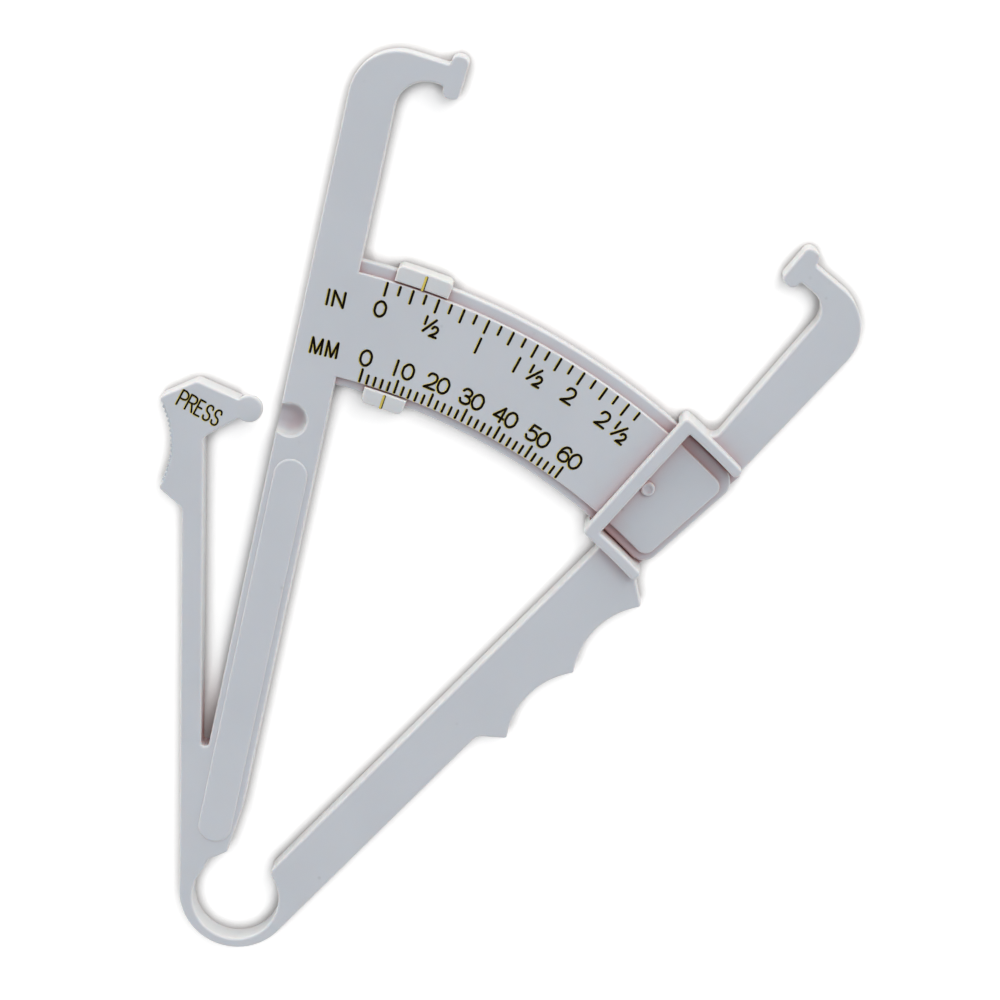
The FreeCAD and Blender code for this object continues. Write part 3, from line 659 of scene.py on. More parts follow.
@dataclass
class ScaleSide(BodyMoulding):
    """The scale arm with its jaw, dish and panel, and the scale plate with its stop boss."""

    right_edge: float = 2.25
    left_edge: float = 11.0
    foot_root: float = 138.0
    foot_radius: float = 9.0
    foot_direction: float = 123.0
    toe_x: float = -1.2
    toe_y: float = 9.18
    foot_tip: float = 9.3
    foot_relief: float = 1.05
    foot_taper: float = 8.2
    foot_corner: float = 0.45
    slot_bottom: float = 29.3
    stub_top: float = 30.4
    stem_width: float = 3.95
    slot_corner: float = 0.6
    throat: float = 5.8
    panel_start: float = 13.25
    panel_end: float = 82.83
    panel_radius: float = 3.2
    panel_height: float = 0.3
    panel_slope: float = 0.45
    dish_distance: float = 93.09
    dish_inset: float = 2.2
    dish_radius: float = 2.92
    dish_depth: float = 3.2
    dish_mouth: float = 5.5
    dish_bowl: float = 2.0
    dish_lip: float = 0.45
    face_inner: float = 116.65
    face_outer: float = 136.4
    face_corner: float = 2.0
    face_height: float = 4.5
    face_rim: float = 0.28
    ledge_inner: float = 114.9
    ledge_outer: float = 138.6
    ledge_beyond: float = 1.3
    ledge_low: float = 1.6
    ledge_corner: float = 3.2
    ledge_rim: float = 0.45
    boss_along: float = 126.26
    boss_across: float = 3.95
    boss_radius: float = 1.3
    boss_height: float = 0.9
    into_arm: float = 2.6
    jaw: Jaw = field(default_factory=Jaw)

    def arm(self) -> bmesh.types.BMesh:
        """The arm from the hinge ring to the upper jaw.

        Returns:
            The arm as a slab.
        """
        level = STEM.y
        outline = Outline(STEM.origin)
        outline.seam_to(Vector((-math.sqrt(self.hole_radius ** 2 - level ** 2), level, 0.0)))
        outline.around(Vector(), polar(self.hole_radius, self.foot_root))
        outline.to(polar(self.foot_radius, self.foot_direction))
        outline.to(Vector((self.toe_x, self.toe_y, 0.0)), self.foot_corner)
        outline.to(ARM.at(self.foot_tip, self.right_edge + self.foot_relief), self.foot_corner)
        outline.to(ARM.at(self.foot_tip + self.foot_taper, self.right_edge))
        inner = (ARM.at(0.0, self.right_edge), ARM.at(100.0, self.right_edge))
        outer = (ARM.at(0.0, self.left_edge), ARM.at(100.0, self.left_edge))
        self.jaw.draw(outline, UPPER_JAW, 1, inner, outer, self.throat)
        slot_left = STEM.at(self.slot_bottom, -self.stem_width)
        outline.to(crossing(STEM.at(self.slot_bottom, 0.0), slot_left, *outer), self.slot_corner)
        outline.to(slot_left, self.slot_corner)
        outline.to(STEM.at(self.stub_top, -self.stem_width))
        outline.seam_to(STEM.at(self.stub_top, 0.0))
        return self.raised(outline)

    def strip(self, inner: float, outer: float, beyond: float, corner: float) -> Outline:
        """A curved strip of the plate, from inside the arm to its free end.

        Args:
            inner: Inner radius.
            outer: Outer radius.
            beyond: How far it reaches past the printed face's end.
            corner: Rounding of its free corners.

        Returns:
            The closed outline.
        """
        inside = self.right_edge + self.into_arm
        line = (ARM.at(0.0, inside), ARM.at(outer, inside))
        centre = PLATE.origin
        free_inner = PLATE.at(math.sqrt(inner ** 2 - beyond ** 2), -beyond)
        free_outer = PLATE.at(math.sqrt(outer ** 2 - beyond ** 2), -beyond)
        outline = Outline(on_circle(*line, inner, centre))
        outline.around(centre, free_inner, corner, 3.6)
        outline.to(free_outer, corner)
        outline.around(centre, on_circle(*line, outer, centre), 0.0, 3.6)
        return outline.close()

    def dish(self) -> bmesh.types.BMesh:
        """The hollow that the lever's ball drops into, open at the arm's left edge.

        Returns:
            The tool that cuts it.
        """
        centre_along, centre_across = self.dish_distance, self.left_edge - self.dish_inset
        half = self.dish_mouth / 2
        inset = math.sqrt(self.dish_radius ** 2 - half ** 2)
        centre = ARM.at(centre_along, centre_across)
        outline = Outline(ARM.at(centre_along - half, centre_across + inset))
        outline.around(centre, ARM.at(centre_along + half, centre_across + inset), 0.0, 0.3, long_way=True)
        outline.to(ARM.at(centre_along + half, centre_across + 2 * self.dish_inset))
        outline.to(ARM.at(centre_along - half, centre_across + 2 * self.dish_inset))
        low = self.thickness - self.dish_depth
        return outline.close().slab(low, self.thickness + 1.0, 0.0, self.dish_bowl, 6)

    def dish_edge(self) -> bmesh.types.BMesh:
        """The soft lip of the dish.

        Returns:
            The tool that cuts it.
        """
        top = self.thickness
        wide = self.dish_radius + self.dish_lip
        profile = [(0.0, top - self.dish_lip), (self.dish_radius, top - self.dish_lip),
                   (self.dish_radius + 0.35 * self.dish_lip, top - 0.65 * self.dish_lip), (wide, top),
                   (wide + self.dish_lip, top + self.dish_lip), (0.0, top + self.dish_lip)]
        return turned_body(profile, ARM.at(self.dish_distance, self.left_edge - self.dish_inset), 64)

    def panel(self) -> bmesh.types.BMesh:
        """The long panel that stands a little out of the arm.

        Returns:
            The panel.
        """
        middle, radius = (self.right_edge + self.left_edge) / 2, self.panel_radius
        outline = Outline(ARM.at(self.panel_start, middle - radius))
        outline.to(ARM.at(self.panel_end, middle - radius))
        outline.through(ARM.at(self.panel_end + radius, middle), ARM.at(self.panel_end, middle + radius),
                        chord=0.4)
        outline.to(ARM.at(self.panel_start, middle + radius))
        outline.through(ARM.at(self.panel_start - radius, middle), ARM.at(self.panel_start, middle - radius),
                        chord=0.4)
        low, top = self.thickness - 0.6, self.thickness + self.panel_height
        return outline.close().slab(low, top, self.panel_slope, 0.0, 6)

    def boss(self) -> bmesh.types.BMesh:
        """The dimpled boss that stops the guide.

        Returns:
            The boss.
        """
        top, radius = self.thickness + self.boss_height, self.boss_radius
        profile = [(0.0, self.thickness - 0.6), (radius, self.thickness - 0.6), (radius, top - 0.28),
                   (radius - 0.08, top - 0.1), (radius - 0.25, top), (radius - 0.42, top - 0.02),
                   (radius - 0.6, top - 0.16), (radius - 0.85, top - 0.24), (0.0, top - 0.26)]
        return turned_body(profile, GUIDE.at(self.boss_along, -self.boss_across), 40)

    def build(self, material: bpy.types.Material) -> bpy.types.Object:
        """Mould the scale side in one piece.

        Args:
            material: Its plastic.

        Returns:
            The piece.
        """
        made = Moulding("scale_side").meet(self.arm())
        ledge = self.strip(self.ledge_inner, self.ledge_outer, self.ledge_beyond, self.ledge_corner)
        made.meet(ledge.slab(self.ledge_low, self.face_height, self.ledge_rim, self.ledge_rim, 3))
        face = self.strip(self.face_inner, self.face_outer, 0.0, self.face_corner)
        made.meet(face.slab(self.face_height - 0.6, self.thickness, self.face_rim, 0.0, 3))
        made.meet(self.boss()).meet(self.panel())
        made.meet(self.dish(), Join.CUT).meet(self.dish_edge(), Join.CUT)
        piece = made.finish(material)
        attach(piece, "frame")
        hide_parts("scale_arm", "upper_jaw", "scale_plate", "plate_flange", "stop_boss")
        return piece


@dataclass
class HingeRing(BodyMoulding):
    """The open ring that flexes between the two arms."""

    radius: float = 10.86
    centre_x: float = 0.21
    centre_y: float = 0.90

    def ends(self) -> tuple[Vector, Vector, Vector, Vector]:
        """The ring's four corners.

        Returns:
            Inner and outer corner at the scale arm, then inner and outer corner at the grip arm.
        """
        centre = Vector((self.centre_x, self.centre_y, 0.0))
        along, across = GRIP.inside(centre)
        arm_inner = Vector((-math.sqrt(self.hole_radius ** 2 - self.centre_y ** 2), self.centre_y, 0.0))
        grip_inner = GRIP.at(along, -math.sqrt(self.hole_radius ** 2 - along ** 2))
        return arm_inner, STEM.origin, grip_inner, GRIP.at(along, across - self.radius)

    def build(self, material: bpy.types.Material) -> bpy.types.Object:
        """Mould the ring.

        Args:
            material: Its plastic.

        Returns:
            The piece.
        """
        arm_inner, arm_outer, grip_inner, grip_outer = self.ends()
        outline = Outline(arm_inner)
        outline.seam_to(arm_outer)
        outline.around(Vector((self.centre_x, self.centre_y, 0.0)), grip_outer, 0.0, 0.5)
        outline.seam_to(grip_inner)
        outline.around(Vector(), arm_inner, 0.0, 0.4)
        slab = self.raised(outline)
        piece = Moulding("hinge_ring_web").meet(slab).finish(material)
        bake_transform(piece)
        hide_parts("hinge_ring")
        return piece


# --- the moulding that is gripped ---


@dataclass
class GripSide(BodyMoulding):
    """The grip arm with its finger rest, the guide round the plate, and the lower jaw."""

    width: float = 9.25
    root_corner: float = 1.5
    rest_start: float = 55.3
    rest_slope: float = 3.7
    rest_height: float = 4.3
    scallop_pitch: float = 17.9
    scallop_depth: float = 2.95
    cusp_corner: float = 0.5
    wall_low_out: float = 112.5
    wall_low_in: float = 114.6
    wall_high_in: float = 139.3
    wall_high_out: float = 141.3
    low_wall_angle: float = 6.75
    high_wall_angle: float = 5.95
    bar_width: float = 2.6
    guide_height: float = 8.6
    bar_low: float = 6.0
    guide_corner: float = 0.95
    wall_end_corner: float = 0.8
    guide_rim: float = 0.55
    floor_height: float = 1.4
    floor_start: float = 2.05
    floor_end: float = 6.55
    jaw_inset: float = 10.2
    jaw_base_width: float = 7.75
    jaw_tip_width: float = 8.85
    jaw_root: float = 165.0
    jaw_fillet: float = 1.4
    throat: float = 4.0
    into_wall: float = 1.0
    floor_key: float = 0.12
    jaw: Jaw = field(default_factory=Jaw)

    def arm(self) -> bmesh.types.BMesh:
        """The grip arm with its slope and two scallops.

        Returns:
            The arm as a slab.
        """
        _, _, inner_root, outer_root = HingeRing().ends()
        outer = GRIP.inside(outer_root)[1]
        inner = outer + self.width
        centre = GUIDE.origin
        wall = self.wall_low_out
        far = 2 * self.rest_start
        outline = Outline(inner_root)
        outline.seam_to(outer_root)
        outline.to(GRIP.at(self.rest_start, outer), 2.0)
        cusp_along, cusp_across = self.rest_start + self.rest_slope, outer - self.rest_height
        outline.to(GRIP.at(cusp_along, cusp_across), self.cusp_corner)
        for number in (1, 2):
            hollow = GRIP.at(cusp_along + (number - 0.5) * self.scallop_pitch, cusp_across + self.scallop_depth)
            cusp = GRIP.at(cusp_along + number * self.scallop_pitch, cusp_across)
            outline.through(hollow, cusp, self.cusp_corner, 0.9)
        outer_line = (GRIP.at(0.0, outer), GRIP.at(far, outer))
        inner_line = (GRIP.at(0.0, inner), GRIP.at(far, inner))
        outline.to(on_circle(*outer_line, wall, centre))
        outline.to(on_circle(*outer_line, wall + self.into_wall, centre))
        outline.around(centre, on_circle(*inner_line, wall + self.into_wall, centre), 0.0, 2.0)
        corner_radius = self.hole_radius + self.root_corner
        corner_across = inner - self.root_corner
        corner_along = math.sqrt(corner_radius ** 2 - corner_across ** 2)
        outline.to(GRIP.at(corner_along, inner))
        share = self.hole_radius / corner_radius
        touch = GRIP.at(corner_along * share, corner_across * share)
        outline.around(GRIP.at(corner_along, corner_across), touch, 0.0, 0.3)
        outline.around(Vector(), inner_root, 0.0, 0.4)
        return self.raised(outline)

    def guide(self) -> bmesh.types.BMesh:
        """The guide's bar and walls, before the plate's passage is cut.

        Returns:
            The U-shaped slab.
        """
        centre, width = GUIDE.origin, self.bar_width
        outline = Outline(GUIDE.at(self.wall_low_out, 0.0), self.guide_corner)
        outline.to(GUIDE.at(self.wall_high_out, 0.0), self.guide_corner)
        outline.around(centre, GUIDE.turned(self.wall_high_out, -self.high_wall_angle), self.wall_end_corner, 1.4)
        outline.to(GUIDE.turned(self.wall_high_in, -self.high_wall_angle), self.wall_end_corner)
        outline.around(centre, GUIDE.at(math.sqrt(self.wall_high_in ** 2 - width ** 2), -width), 0.35, 1.4)
        outline.to(GUIDE.at(math.sqrt(self.wall_low_in ** 2 - width ** 2), -width), 0.35)
        outline.around(centre, GUIDE.turned(self.wall_low_in, -self.low_wall_angle), self.wall_end_corner, 1.4)
        outline.to(GUIDE.turned(self.wall_low_out, -self.low_wall_angle), self.wall_end_corner)
        outline.around(centre, GUIDE.at(self.wall_low_out, 0.0), 0.0, 1.4)
        return outline.close().slab(0.0, self.guide_height, self.guide_rim, self.back_rim)

    def sector(self, inner: float, outer: float, start: float, end: float) -> Outline:
        """A curved strip about the pivot between two angles from the guide's closed side.

        Args:
            inner: Inner radius.
            outer: Outer radius.
            start: First angle.
            end: Last angle.

        Returns:
            The closed outline.
        """
        centre = GUIDE.origin
        outline = Outline(GUIDE.turned(inner, start))
        outline.around(centre, GUIDE.turned(inner, end), 0.0, 1.4)
        outline.to(GUIDE.turned(outer, end))
        outline.around(centre, GUIDE.turned(outer, start), 0.0, 1.4)
        return outline.close()

    def jaw_arm(self) -> bmesh.types.BMesh:
        """The arm beyond the guide with the lower jaw.

        Returns:
            The arm as a slab.
        """
        place, centre = LOWER_JAW, LOWER_JAW.origin
        inner = -self.jaw_inset
        wall = self.wall_high_out
        inner_base = on_circle(place.at(0.0, inner), place.at(wall, inner), wall, centre)
        base_along, _ = place.inside(inner_base)
        tip_outer = place.at(self.jaw_root, inner - self.jaw_tip_width)
        base_outer = place.at(base_along, inner - self.jaw_base_width)
        touch_radius = wall + self.jaw_fillet
        touch = math.degrees(math.asin((inner + self.jaw_fillet) / touch_radius))
        fillet = place.turned(touch_radius, touch)
        outline = Outline(place.turned(wall - self.into_wall, touch))
        outline.to(place.turned(wall, touch))
        outline.around(fillet, place.at(place.inside(fillet)[0], inner), 0.0, 0.3)
        inner_line = (place.at(0.0, inner), place.at(wall, inner))
        self.jaw.draw(outline, place, -1, inner_line, (base_outer, tip_outer), self.throat)
        outline.to(on_circle(tip_outer, base_outer, wall - self.into_wall, centre))
        outline.around(centre, outline.first.co.copy(), 0.0, 2.0)
        return self.raised(outline)

    def build(self, material: bpy.types.Material) -> bpy.types.Object:
        """Mould the grip side in one piece.

        Args:
            material: Its plastic.

        Returns:
            The piece.
        """
        made = Moulding("grip_side").meet(self.guide())
        passage = self.sector(self.wall_low_in, self.wall_high_in, 4.0, -9.0).slab(-1.0, self.bar_low)
        made.meet(passage, Join.CUT)
        floor = self.sector(self.wall_low_in - self.floor_key, self.wall_high_in + self.floor_key,
                            -self.floor_start, -self.floor_end)
        made.meet(floor.slab(0.0, self.floor_height, 0.25, 0.0, 2))
        made.meet(self.arm()).meet(self.jaw_arm())
        piece = made.finish(material)
        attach(piece, "grip")
        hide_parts("grip_arm", "finger_rest", "guide_lower_wall", "guide_upper_wall", "guide_floor",
                    "guide_bar", "jaw_arm", "lower_jaw")
        return piece


# --- the thumb lever ---


@dataclass
class ThumbLever(BodyMoulding):
    """The stem with its thin flexing length, the hollowed thumb rest and the ball on its nose."""

    width: float = 3.95
    flexure_start: float = 30.4
    flexure_end: float = 41.8
    head_start: float = 75.2
    head_end: float = 95.9
    chamfer: float = 3.7
    lip: float = 4.35
    hollow: float = 2.35
    head_corner: float = 0.7
    root_corner: float = 1.2
    nose_root: float = 88.6
    apex_along: float = 99.2
    apex_across: float = -2.7
    ball_along: float = 94.24
    ball_across: float = -12.29
    ball_radius: float = 2.55
    ball_neck: float = 1.7
    ball_key: float = 0.12
    neck_share: float = 0.3
    neck_reach: float = 2.3
    neck_turn: float = 40.0
    neck_corner: float = 0.8
    neck_rim: float = 0.3
    ball_low: float = 2.85
    ball_bowl: float = 1.6
    ball_rim: float = 0.55
    rib_pitch: float = 0.93
    rib_radius: float = 0.34
    rib_sunk: float = 0.15
    rib_margin: float = 0.14

    def flexure(self, material: bpy.types.Material) -> bpy.types.Object:
        """Mould the length that flexes.

        Args:
            material: Its plastic.

        Returns:
            The piece.
        """
        outline = Outline(STEM.at(self.flexure_start, 0.0))
        outline.seam_to(STEM.at(self.flexure_start, -self.width))
        steps = 12
        stretch = self.flexure_end - self.flexure_start
        for number in range(1, steps + 1):
            outline.to(STEM.at(self.flexure_start + stretch * number / steps, -self.width))
        outline.seam_to(STEM.at(self.flexure_end, 0.0))
        for number in range(steps - 1, 0, -1):
            outline.to(STEM.at(self.flexure_start + stretch * number / steps, 0.0))
        slab = self.raised(outline)
        piece = Moulding("lever_flexing_stem").meet(slab).finish(material)
        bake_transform(piece)
        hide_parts("lever_flexure")
        return piece

    def head(self) -> bmesh.types.BMesh:
        """The rigid stem with the thumb rest and the nose.

        Returns:
            The lever as a slab.
        """
        reach = math.sqrt(self.ball_radius ** 2 - self.ball_neck ** 2) - self.ball_key
        slope = self.head_start + self.chamfer
        outline = Outline(STEM.at(self.flexure_end, 0.0))
        outline.seam_to(STEM.at(self.flexure_end, -self.width))
        outline.to(STEM.at(self.nose_root, -self.width), self.root_corner)
        outline.to(STEM.at(self.ball_along - self.ball_neck, self.ball_across + reach))
        outline.to(STEM.at(self.ball_along + self.ball_neck, self.ball_across + reach))
        outline.to(STEM.at(self.apex_along, self.apex_across), self.root_corner)
        outline.to(STEM.at(self.head_end, self.lip), self.head_corner)
        bottom = STEM.at((slope + self.head_end) / 2, self.lip - self.hollow)
        outline.through(bottom, STEM.at(slope, self.lip), self.head_corner, 0.75)
        outline.to(STEM.at(self.head_start, 0.0), 1.5)
        return self.raised(outline)

    def neck(self) -> bmesh.types.BMesh:
        """The upper part of the nose's end, which runs on into the ball with soft inner corners.

        Returns:
            The neck as a slab.
        """
        spread = math.degrees(math.asin(self.ball_neck / self.ball_radius))
        waist = math.sqrt(self.ball_radius ** 2 - self.ball_neck ** 2)
        ball = Place(*STEM.at(self.ball_along, self.ball_across).xy, STEM.direction + 90.0)
        low_root = STEM.at(self.nose_root, -self.width)
        high_root = STEM.at(self.apex_along, self.apex_across)
        low_waist, high_waist = ball.at(waist, self.ball_neck), ball.at(waist, -self.ball_neck)
        outline = Outline(low_waist.lerp(low_root, self.neck_share))
        outline.to(low_waist, self.neck_corner)
        outline.to(ball.turned(self.neck_reach, spread + self.neck_turn))
        outline.to(ball.turned(self.neck_reach, -spread - self.neck_turn))
        outline.to(high_waist, self.neck_corner)
        outline.to(high_waist.lerp(high_root, self.neck_share))
        return outline.close().slab(self.ball_low + self.ball_bowl, self.thickness, self.neck_rim, 0.0)

    def ball(self) -> bmesh.types.BMesh:
        """The round tip of the nose, whose underside nests in the dish.

        Returns:
            The ball.
        """
        top, low, radius = self.thickness, self.ball_low, self.ball_radius
        rim, bowl = self.ball_rim, self.ball_bowl
        profile = [(0.0, low)]
        for number in range(7):
            angle = math.radians(90.0 * number / 6 - 90.0)
            profile.append((radius - bowl + bowl * math.cos(angle), low + bowl + bowl * math.sin(angle)))
        for number in range(5):
            angle = math.radians(90.0 * number / 4)
            profile.append((radius - rim + rim * math.cos(angle), top - rim + rim * math.sin(angle)))
        profile.append((0.0, top))
        return turned_body(profile, STEM.at(self.ball_along, self.ball_across), 48)

    def ribs(self) -> bmesh.types.BMesh:
        """The fine upright ribs of the thumb rest.

        Returns:
            The ribs, sunk halfway into the hollow.
        """
        slope, end = self.head_start + self.chamfer, self.head_end
        half, depth = (end - slope) / 2, self.hollow
        radius = (half ** 2 + depth ** 2) / (2 * depth)
        middle = Vector(((slope + end) / 2, self.lip - depth + radius, 0.0))
        span = math.asin(half / radius)
        count = int(2 * span * radius / self.rib_pitch)
        mesh = bmesh.new()
        height = self.thickness - 2 * self.rib_margin
        for number in range(2, count - 1):
            angle = -span + 2 * span * number / count
            along = middle.x + radius * math.sin(angle)
            across = middle.y - radius * math.cos(angle)
            where = STEM.at(along, across - self.rib_sunk) + UP * self.thickness / 2
            bmesh.ops.create_cone(mesh, cap_ends=True, segments=8, radius1=self.rib_radius,
                                  radius2=self.rib_radius, depth=height, matrix=Matrix.Translation(where))
        return mesh

    def build(self, material: bpy.types.Material) -> bpy.types.Object:
        """Mould the rigid part of the lever.

        Args:
            material: Its plastic.

        Returns:
            The piece.
        """
        made = Moulding("thumb_lever").meet(self.head()).meet(self.ball()).meet(self.neck())
        made.overlay(self.ribs())
        piece = made.finish(material)
        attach(piece, "lever")
        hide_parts("lever_stem", "thumb_head", "lever_ball")
        return piece


# --- the cursor ---


@dataclass
class Cursor:
    """The clip that slides on the plate's two ledges."""

    low: float = 113.3
    high: float = 139.85
    room_low: float = 114.6
    room_high: float = 138.9
    low_tab: float = 116.3
    high_tab: float = 136.75
    low_width: float = 7.8
    high_width: float = 10.6
    back: float = 0.2
    bridge_top: float = 1.4
    room_top: float = 4.7
    front: float = 6.0
    corner: float = 0.95
    rim: float = 0.42
    back_rim: float = 0.25
    bridge_inset: float = 0.5
    room_angle: float = 4.0
    chord: float = 1.3
    least_share: float = 1e-3

    def strip(self, inner: float, outer: float, inner_corner: float = 0.0,
              outer_corner: float = 0.0) -> Outline:
        """A cross strip of the cursor with its slightly tapering sides.

        Args:
            inner: Inner radius.
            outer: Outer radius.
            inner_corner: Rounding of the corners at the inner radius.
            outer_corner: Rounding of those at the outer radius.

        Returns:
            The closed outline.
        """
        centre = CURSOR.origin

        def side(radius: float, sign: int) -> Vector:
            """The point of one side at a radius."""
            near = CURSOR.at(self.low, sign * self.low_width / 2)
            far = CURSOR.at(self.high, sign * self.high_width / 2)
            share = (radius - self.low) / (self.high - self.low) + self.least_share
            return on_circle(near, near + (far - near) * share, radius, centre)

        outline = Outline(side(inner, -1), inner_corner)
        outline.to(side(outer, -1), outer_corner)
        outline.around(centre, side(outer, 1), outer_corner, self.chord)
        outline.to(side(inner, 1), inner_corner)
        outline.around(centre, side(inner, -1), 0.0, self.chord)
        return outline.close()

    def build(self, material: bpy.types.Material) -> bpy.types.Object:
        """Mould the cursor.

        Args:
            material: Its plastic.

        Returns:
            The piece.
        """
        made = Moulding("cursor_clip")
        for tab in (self.strip(self.low, self.low_tab, self.corner, 0.0),
                    self.strip(self.high_tab, self.high, 0.0, self.corner)):
            made.meet(tab.slab(self.back, self.front, self.rim, self.back_rim))
        bridge = self.strip(self.low + self.bridge_inset, self.high - self.bridge_inset)
        made.meet(bridge.slab(self.back, self.bridge_top))
        centre, angle = CURSOR.origin, self.room_angle
        room = Outline(CURSOR.turned(self.room_low, -angle))
        room.around(centre, CURSOR.turned(self.room_low, angle), 0.0, self.chord)
        room.to(CURSOR.turned(self.room_high, angle))
        room.around(centre, CURSOR.turned(self.room_high, -angle), 0.0, self.chord)
        made.meet(room.close().slab(self.bridge_top, self.room_top), Join.CUT)
        piece = made.finish(material)
        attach(piece, "cursor")
        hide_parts("cursor_bridge", "cursor_lower_clip", "cursor_upper_clip")
        return piece


# --- printing ---


@dataclass(frozen=True)
class Stroke:
    """One pen stroke of a character, in a box one unit high and one wide."""

    points: tuple[tuple[float, float], ...]
    smooth: bool = False
    closed: bool = False


def pen(*points: tuple[float, float]) -> Stroke:
    """A stroke of straight lines."""
    return Stroke(points)


def bend(*points: tuple[float, float]) -> Stroke:
    """A smooth stroke."""
    return Stroke(points, smooth=True)


CHARACTERS: dict[str, tuple[Stroke, ...]] = {
    "0": (Stroke(((0.5, 1.0), (0.93, 0.78), (1.0, 0.5), (0.93, 0.22), (0.5, 0.0), (0.07, 0.22), (0.0, 0.5),
                  (0.07, 0.78)), smooth=True, closed=True),),
    "1": (pen((0.5, 1.0), (0.5, 0.0)),),
    "2": (bend((0.06, 0.76), (0.2, 0.94), (0.5, 1.0), (0.82, 0.92), (0.93, 0.7), (0.78, 0.46), (0.0, 0.0)),
          pen((0.0, 0.0), (1.0, 0.0))),
    "3": (bend((0.05, 0.8), (0.22, 0.96), (0.5, 1.0), (0.82, 0.9), (0.88, 0.74), (0.76, 0.58), (0.42, 0.53)),
          bend((0.42, 0.53), (0.82, 0.46), (0.98, 0.27), (0.82, 0.07), (0.48, 0.0), (0.15, 0.06),
               (0.0, 0.24))),
    "4": (pen((0.76, 0.0), (0.76, 1.0), (0.0, 0.27), (1.0, 0.27)),),
    "5": (pen((0.9, 1.0), (0.2, 1.0), (0.1, 0.55)),
          bend((0.1, 0.55), (0.48, 0.65), (0.84, 0.56), (0.98, 0.33), (0.82, 0.08), (0.46, 0.0),
               (0.14, 0.05), (0.0, 0.2))),
    "6": (bend((0.9, 0.86), (0.7, 0.98), (0.48, 1.0), (0.16, 0.84), (0.01, 0.46), (0.1, 0.12), (0.5, 0.0),
               (0.88, 0.1), (1.0, 0.32), (0.86, 0.54), (0.5, 0.62), (0.16, 0.52), (0.02, 0.34)),),
    "/": (pen((0.0, 0.0), (1.0, 1.0)),),
    "I": (pen((0.5, 1.0), (0.5, 0.0)),),
    "N": (pen((0.0, 0.0), (0.0, 1.0), (1.0, 0.0), (1.0, 1.0)),),
    "M": (pen((0.0, 0.0), (0.04, 1.0), (0.52, 0.0), (0.96, 1.0), (1.0, 0.0)),),
    "P": (pen((0.0, 0.0), (0.0, 1.0), (0.5, 1.0)),
          bend((0.5, 1.0), (0.84, 0.9), (1.0, 0.7), (0.84, 0.52), (0.5, 0.46)), pen((0.5, 0.46), (0.0, 0.46))),
    "R": (pen((0.0, 0.0), (0.0, 1.0), (0.5, 1.0)),
          bend((0.5, 1.0), (0.86, 0.94), (1.0, 0.75), (0.86, 0.56), (0.5, 0.5)), pen((0.5, 0.5), (0.0, 0.5)),
          pen((0.55, 0.5), (1.0, 0.0))),
    "E": (pen((0.9, 1.0), (0.0, 1.0), (0.0, 0.0), (0.95, 0.0)), pen((0.0, 0.52), (0.78, 0.52))),
    "S": (bend((0.95, 0.8), (0.8, 0.96), (0.5, 1.0), (0.16, 0.92), (0.05, 0.75), (0.2, 0.58), (0.5, 0.5),
               (0.82, 0.42), (0.97, 0.24), (0.82, 0.06), (0.48, 0.0), (0.14, 0.06), (0.0, 0.22)),),
}


@dataclass
class Foil:
    """Stamped print: strokes of one width, gathered and then laid on a face."""

    name: str
    width: float = 0.54
    strokes: list[tuple[list[Vector], bool, bool]] = field(default_factory=list)

    def line(self, start: Vector, end: Vector) -> None:
        """Print a straight line."""
        self.strokes.append(([start, end], False, False))

    def character(self, sign: str, centre: Vector, up: float, height: float, width: float) -> None:
        """Print a character.

        Args:
            sign: The character.
            centre: Its middle.
            up: Direction of its top.
            height: Height of its box.
            width: Width of its box.
        """
        for stroke in CHARACTERS[sign]:
            points = [polar((x - 0.5) * width, up - 90.0, polar((y - 0.5) * height, up, centre))
                      for x, y in stroke.points]
            self.strokes.append((points, stroke.smooth, stroke.closed))

    def _round_ends(self, data: bpy.types.Mesh, radius: float) -> None:
        """Round the strokes' ends and fill their straight corners.

        Args:
            data: The strokes' mesh.
            radius: Half the strokes' width.
        """
        mesh = bmesh.new()
        mesh.from_mesh(data)
        for points, smooth, closed in self.strokes:
            ends = points if not smooth else () if closed else (points[0], points[-1])
            for point in ends:
                bmesh.ops.create_uvsphere(mesh, u_segments=8, v_segments=4, radius=radius,
                                          matrix=Matrix.Translation(point))
        mesh.to_mesh(data)
        mesh.free()

    def lay(self, height: float, relief: float, shift: Vector, body: str, material: bpy.types.Material,
            width: float | None = None) -> bpy.types.Object:
        """Lay the strokes on a face as thin raised foil.

        Args:
            height: The face's height.
            relief: How far the foil stands out of it.
            shift: How far the foil is moved on the face.
            body: The body that carries it.
            material: The foil.
            width: Width of the strokes, or None for the print's own.

        Returns:
            The piece.
        """
        curve = bpy.data.curves.new(self.name, "CURVE")
        curve.dimensions = "3D"
        curve.resolution_u = 6
        curve.bevel_depth = (width or self.width) / 2
        curve.bevel_resolution = 1
        curve.use_fill_caps = True
        for points, smooth, closed in self.strokes:
            runs = [points] if smooth else [list(pair) for pair in zip(points, points[1:])]
            for run in runs:
                spline = curve.splines.new("BEZIER")
                spline.bezier_points.add(len(run) - 1)
                spline.use_cyclic_u = closed
                for knot, point in zip(spline.bezier_points, run):
                    knot.co = point
                    knot.handle_left_type = knot.handle_right_type = "AUTO" if smooth else "VECTOR"
        holder = placed(self.name, curve)
        graph = bpy.context.evaluated_depsgraph_get()
        data = bpy.data.meshes.new_from_object(holder.evaluated_get(graph))
        bpy.data.objects.remove(holder)
        self._round_ends(data, curve.bevel_depth)
        flat = relief / curve.bevel_depth
        data.transform(Matrix.Translation(UP * height + shift) @ Matrix.Diagonal((1.0, 1.0, flat, 1.0)))
        data.transform(Matrix.Scale(METRES_PER_MM, 4))
        bpy.data.curves.remove(curve)
        piece = placed(self.name, data)
        data.materials.clear()
        data.materials.append(material)
        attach(piece, body)
        return piece


